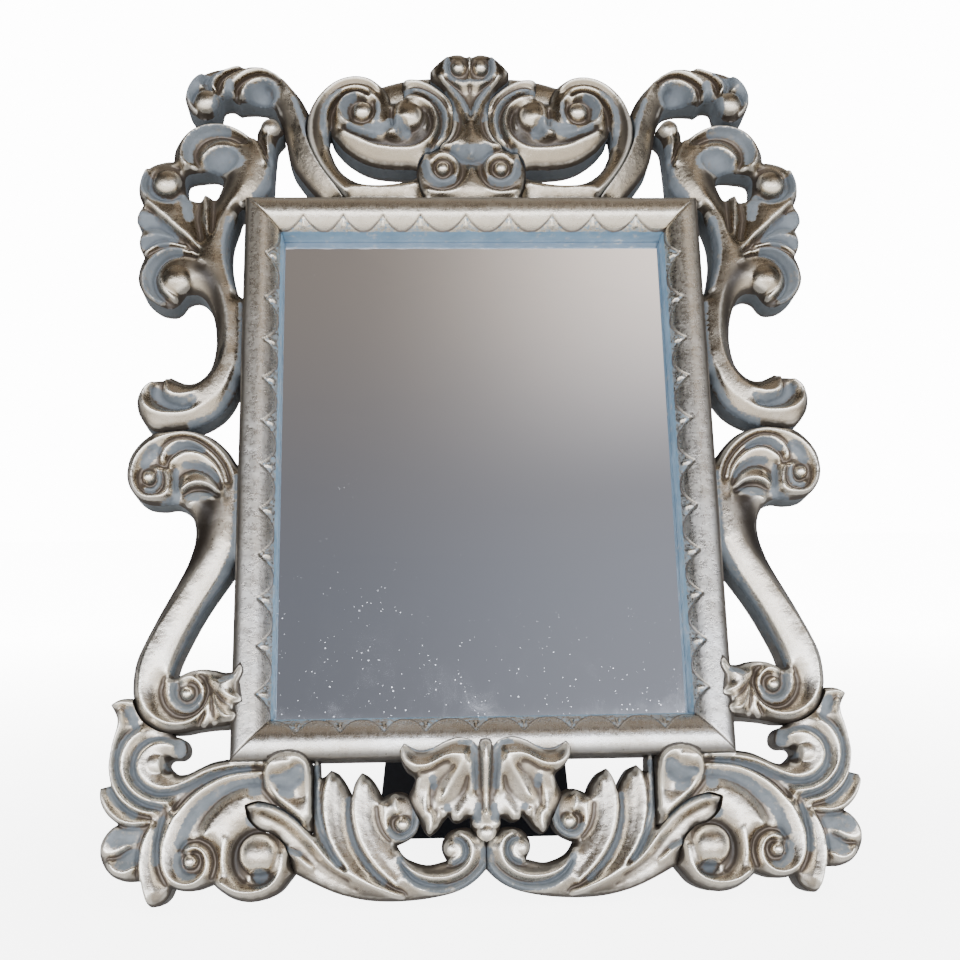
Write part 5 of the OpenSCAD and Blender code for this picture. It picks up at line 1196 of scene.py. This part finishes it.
def black_board(name, gloss):
    """black-faced fibreboard, scuffed; gloss is its least roughness"""
    s = Shade(name)
    fibre = s.noise(160, 6, 0.7, (0.5, 1, 2.2), 0.4)
    scuff = s.span(s.noise(26, 4, 0.7), 0.6, 0.78)
    black = s.mix(fibre, rgb(0.006, 0.008, 0.014), rgb(0.018, 0.02, 0.028))
    colour = s.mix(s.math("MULTIPLY", scuff, 0.25), black, rgb(0.08, 0.08, 0.09))
    return s.finish(Base_Color=colour, Roughness=s.span(fibre, 0.3, 0.7, gloss, gloss + 0.16),
                    Normal=s.bump(fibre, 0.15, 0.0005))


def card_stock():
    s = Shade("card_stock")
    pulp = s.noise(320, 6, 0.75)
    fleck = s.span(s.cells(500), 0.05, 0.12, 1, 0)
    colour = s.mix(pulp, rgb(0.36, 0.28, 0.19), rgb(0.50, 0.41, 0.30))
    colour = s.mix(s.math("MULTIPLY", fleck, 0.4), colour, rgb(0.2, 0.15, 0.1))
    return s.finish(Base_Color=colour, Roughness=0.9, Normal=s.bump(pulp, 0.3, 0.0004))


def plated(name, tint, scratch=1.0):
    """plated steel, brushed along its length and spotted"""
    s = Shade(name)
    brush = s.noise(900, 3, 0.6, (0.15, 1, 1))
    spots = s.span(s.noise(120, 4, 0.7), 0.58, 0.72)
    bright = s.mix(brush, tint, rgb(*(min(1, c * 1.35) for c in tint[:3])))
    colour = s.mix(s.math("MULTIPLY", spots, 0.5), bright, rgb(0.16, 0.13, 0.11))
    rough = s.math("ADD", s.span(brush, 0.3, 0.7, 0.24, 0.38), s.math("MULTIPLY", spots, 0.25))
    return s.finish(Base_Color=colour, Metallic=1.0, Roughness=rough,
                    Normal=s.bump(brush, 0.12 * scratch, 0.0002))


leaf = silver_leaf("silver_leaf", rgb(1.04, 1.0, 0.93), 0.68, rgb(0.115, 0.13, 0.14), rgb(0.205, 0.225, 0.24))
leaf_moulding = silver_leaf("silver_leaf_moulding", rgb(0.97, 0.99, 1.01), 1.25,
                            rgb(0.10, 0.19, 0.27), rgb(0.20, 0.31, 0.40))
glass = looking_glass()
board_black = black_board("board_black", 0.55)
strut_black = black_board("strut_black", 0.32)
card = card_stock()
steel_hinge = plated("steel_hinge", rgb(0.42, 0.40, 0.37))
steel_button = plated("steel_button", rgb(0.50, 0.49, 0.45))
steel_screw = plated("steel_screw", rgb(0.46, 0.46, 0.47), 0.5)
steel_nail = plated("steel_nail", rgb(0.26, 0.26, 0.27))

# ---------- the carvings ----------

for name, nodes in CARVINGS.items():
    made = carve(name)
    for mirrored, node in zip((False, True), nodes):
        mesh = make_mesh(name + ("_right" if mirrored else "_left"), *solid(name, *made, mirrored))
        own(mesh, "frame", leaf, node)

# ---------- the moulding ----------

# places of the cusps between the scallops, along the top and up the sides
TOP_CUSPS = [-108, -86, -66, -46, -27, -4, 18, 40, 61, 83, 106]
SIDE_CUSPS = [-133, -111, -89, -67, -46, -24, -2, 20, 42, 62, 84, 108, 131]
SCALLOP = 8.2  # width of the scalloped slope
CUT = 0.9      # depth to which it is cut in
# from the face round the back to the sight edge: mm outward, height and tone; the outer wall carries painted
# shade, and the rebate's wash darkens by the glass as painted shade
ROUND_THE_BACK = ((WIDE, -1.0, (0, 0.5, 0, 0.9)), (WIDE, BACK * 0.5, (0.1, 0.5, 0, 0.7)), (WIDE, BACK, BARE),
                  (WIDE * 0.66, BACK, BARE), (REBATE, BACK, BARE), (REBATE, -LIP, BARE),
                  (0, -LIP, (1, 0.3, 0, 0)), (0, 1.5 - LIP, PAINTED), (0, -4, PAINTED), (0, -1, PAINTED))


def bell(x, wide):
    return np.exp(-(x / wide) ** 2)


def moulding_face(half_sight, half_other, marks, along, U):
    """height and tones of a bar's face, cut with scallops that meet in cusps at the marks"""
    k = np.clip(np.searchsorted(marks, along), 1, len(marks) - 1)
    left, right = marks[k - 1], marks[k]
    t = np.clip((along - left) / (right - left) * 2 - 1, -1, 1)
    inner = 1.0 + 6.6 * np.abs(t) ** 2.3
    rise = np.clip((U - inner) / 0.5 + 0.5, 0, 1)
    rise = rise * rise * (3 - 2 * rise)
    # small raised dart in each spandrel
    near = np.min(np.abs(along[..., None] - marks), axis=2)
    reach = np.clip((6.2 - U) * 0.36, 0, 1.3)
    dart = np.clip((reach - near) / 0.5, 0, 1) * np.clip((U - 2.0) / 0.5, 0, 1)
    on_slope = np.clip((SCALLOP - U) / 0.6, 0, 1)
    groove = bell(U - inner + 0.1, 0.38) * on_slope
    mitre = np.abs(half_other + U - np.abs(along))
    Z = section(U) - CUT * (1 - rise) * np.clip(U / 1.2, 0, 1) + CUT * dart - 0.4 * groove
    Z = Z - 0.5 * bell(mitre, 0.45) + 0.5 * tool_marks(along, U + 40 * half_sight)
    inset = (1 - rise) * np.clip((7.6 - U) / 0.5, 0, 1)
    wash = np.clip(1.3 - U / 0.7, 0, 1) + 0.36 * inset * (1 - dart)
    # darker in the scallop grooves and towards the outer edge as painted shade, and along the mitre as a dark
    # joint
    cavity = 0.75 * groove + 0.5 * np.clip((U - WIDE + 1.6) / 1.2, 0, 1) + 0.5 * bell(mitre, 0.6)
    # painted highlight on the darts and along the scallops' edges
    painted_highlight = 0.5 * dart + 0.5 * bell(U - inner - 0.7, 0.35) * on_slope
    # painted shade on the outer slope, deeper on the side bars
    painted_shade = np.clip((U - 14.6) / 2.4, 0, 1) * (0.9 if half_sight == HALF_W else 0.6)
    return Z, np.dstack([wash, cavity, painted_highlight, painted_shade])


def moulding_bar(side, half_sight, half_other, direction, across, marks):
    """a mitred bar, half_sight from the middle; direction runs along it and across points outward"""
    n = int(2 * (half_other + WIDE) / 0.7)
    share = np.linspace(-1, 1, n + 1)
    u = np.concatenate([np.linspace(0, 1.2, 7), np.linspace(1.2, 9.0, 25)[1:], np.linspace(9.0, 17.4, 20)[1:],
                        np.linspace(17.4, WIDE, 7)[1:]])
    S, U = np.meshgrid(share, u)
    along = S * (half_other + U)
    Z, face_tones = moulding_face(half_sight, half_other, np.asarray(marks, float), along, U)
    rows = [np.stack([along[r], half_sight + U[r], Z[r]], 1) for r in range(len(u))]
    tones = list(face_tones)
    for out, z, tone in ROUND_THE_BACK:
        rows.append(np.stack([share * (half_other + out), np.full(n + 1, half_sight + out),
                              np.full(n + 1, float(z))], 1))
        tones.append(np.tile(np.array(tone, float), (n + 1, 1)))
    co = np.vstack(rows)
    m = len(rows)
    faces = []
    for r in range(m):
        a, b = r * (n + 1), ((r + 1) % m) * (n + 1)
        faces += [[a + i, a + i + 1, b + i + 1, b + i] for i in range(n)]
    faces.append([r * (n + 1) for r in range(m)])
    faces.append([r * (n + 1) + n for r in reversed(range(m))])
    placed = np.empty_like(co)
    placed[:, :2] = co[:, :1] * np.array(direction, float) + co[:, 1:2] * np.array(across, float)
    placed[:, 2] = co[:, 2]
    bar = make_mesh("silver_moulding_" + side, placed, faces, np.vstack(tones))
    own(bar, "frame", leaf_moulding, "moulding_" + side)


def turned(marks):
    return [-x for x in reversed(marks)]


moulding_bar("top", HALF_H, HALF_W, (1, 0), (0, 1), TOP_CUSPS)
moulding_bar("bottom", HALF_H, HALF_W, (-1, 0), (0, -1), turned(TOP_CUSPS))
moulding_bar("left", HALF_W, HALF_H, (0, 1), (-1, 0), SIDE_CUSPS)
moulding_bar("right", HALF_W, HALF_H, (0, -1), (1, 0), turned(SIDE_CUSPS))

# ---------- the parts kept from the frame ----------

FINISHES = {"mirror_glass": glass, "backing_card": card, "back_board": board_black, "strut": strut_black,
            "hinge_board_leaf": steel_hinge, "hinge_strut_leaf": steel_hinge, "hinge_pin": steel_screw,
            "hinge_board_screws": steel_screw, "hinge_strut_rivets": steel_screw,
            "turn_button_screws": steel_screw, "corner_v_nails": steel_nail,
            **{f"turn_button_{v}_{s}": steel_button for v in ("upper", "lower") for s in ("left", "right")}}
for node, material in FINISHES.items():
    mesh = frame["nodes"][node].data
    mesh.materials.clear()
    mesh.materials.append(material)

# ---------- floor ----------

floor = bpy.data.objects.new("floor", bpy.data.meshes.new("floor"))
floor.data.from_pydata([(-6, -6, 0), (6, -6, 0), (6, 6, 0), (-6, 6, 0)], [], [(0, 1, 2, 3)])
bpy.context.collection.objects.link(floor)
s = Shade("pale_floor")
s.finish(Base_Color=s.mix(s.noise(900, 3, 0.6), rgb(0.62, 0.62, 0.62), rgb(0.68, 0.68, 0.68)), Roughness=0.95)
# white to the eye, fading out to the backdrop
away = s.new("VectorMath", ((0, s.where),), operation="LENGTH").outputs["Value"]
glow = s.new("Emission", (("Strength", s.span(away, 0.2, 1.3, 6.0, 13.0)),))
to_eye = s.new("AddShader", ((0, s.bsdf.outputs[0]), (1, glow.outputs[0])))
# in reflections, bright in front of the mirror and plain behind it
in_front = s.span(s.axes()[1], -0.03, -0.30, 0.1, 2.3)
bounce = s.new("Emission", (("Strength", s.math("MULTIPLY", s.ray("Is Glossy Ray"), in_front)),))
to_rest = s.new("AddShader", ((0, s.bsdf.outputs[0]), (1, bounce.outputs[0])))
shown = s.new("MixShader", ((0, s.ray("Is Camera Ray")), (1, to_rest.outputs[0]), (2, to_eye.outputs[0])))
s.put(s.out, "Surface", shown.outputs[0])
floor.data.materials.append(s.mat)

# ---------- light and camera ----------

world = bpy.data.worlds.new("studio")
bpy.context.scene.world = world
world.use_nodes = True
w = Nodes(world.node_tree, "Generated")


def soft(value, a, b, c=0.0, d=1.0):
    return w.span(value, a, b, c, d, "SMOOTHSTEP")


def times(*values):
    made = values[0]
    for value in values[1:]:
        made = w.math("MULTIPLY", made, value)
    return made


x, y, z = w.axes()
# bright and low in front, grey above that, dim and warm overhead, at the sides and behind
front = soft(y, -0.25, -0.80)
low = times(soft(y, -0.52, -0.90), soft(z, 0.362, 0.235))
across = soft(x, -0.12, 0.22)
high = soft(z, 0.49, 0.68)
over = soft(z, 0.66, 0.80, 1.0, 0.0)
corner = times(w.math("POWER", across, 2.3), times(high, over))
right = times(soft(x, 0.30, 0.80), soft(z, 0.80, 0.15))
upper = w.math("ADD", times(high, 0.055), 0.17)
light = times(front, times(over, w.math("ADD", times(across, 0.18), upper)))
for more in (times(front, times(corner, 1.5)), times(low, 8.0), times(right, 0.25),
             soft(z, 0.82, 0.94, 0.055, 0.42)):
    light = w.math("ADD", light, more)
tint = w.mix(soft(z, 0.42, 0.66), rgb(0.93, 0.98, 1.10), rgb(1.12, 0.98, 0.85))
room = w.new("Background", (("Color", tint), ("Strength", light)))
backdrop = w.new("Background", (("Color", rgb(1, 1, 1)), ("Strength", 14.0)))
choose = w.new("MixShader", ((0, w.ray("Is Camera Ray")), (1, room.outputs[0]), (2, backdrop.outputs[0])))
w.new("OutputWorld", (("Surface", choose.outputs[0]),))


def lamp(name, place, aim, wide, high, watts, colour):
    """soft lamp that lights the pieces and isn't reflected in them"""
    data = bpy.data.lights.new(name, "AREA")
    data.shape, data.size, data.size_y = "RECTANGLE", wide, high
    data.energy, data.color = watts, colour
    obj = bpy.data.objects.new(name, data)
    obj.location = place
    obj.rotation_euler = (Vector(aim) - Vector(place)).to_track_quat("-Z", "Y").to_euler()
    obj.visible_glossy = False
    bpy.context.collection.objects.link(obj)


lamp("overhead", (0.3, -0.9, 1.9), (0, 0, 0.15), 1.6, 1.2, 13, (1.0, 0.98, 0.95))
lamp("behind", (-0.7, 1.3, 1.0), (0, 0, 0.2), 1.2, 1.0, 12, (1.0, 0.99, 0.97))

camera = bpy.data.objects.new("camera", bpy.data.cameras.new("camera"))
camera.data.lens, camera.data.sensor_width = 50.6, 36
look = Vector((0.0478, 0.9987, 0.0151)).normalized()
upward = Vector((0.0087, -0.0156, 0.9998))
side = look.cross(upward).normalized()
upward = side.cross(look)
camera.matrix_world = Matrix((
    (side.x, upward.x, -look.x, -0.0307),
    (side.y, upward.y, -look.y, -0.6685),
    (side.z, upward.z, -look.z, 0.1820),
    (0, 0, 0, 1)))
bpy.context.collection.objects.link(camera)
bpy.context.scene.camera = camera

bpy.context.view_layer.update()
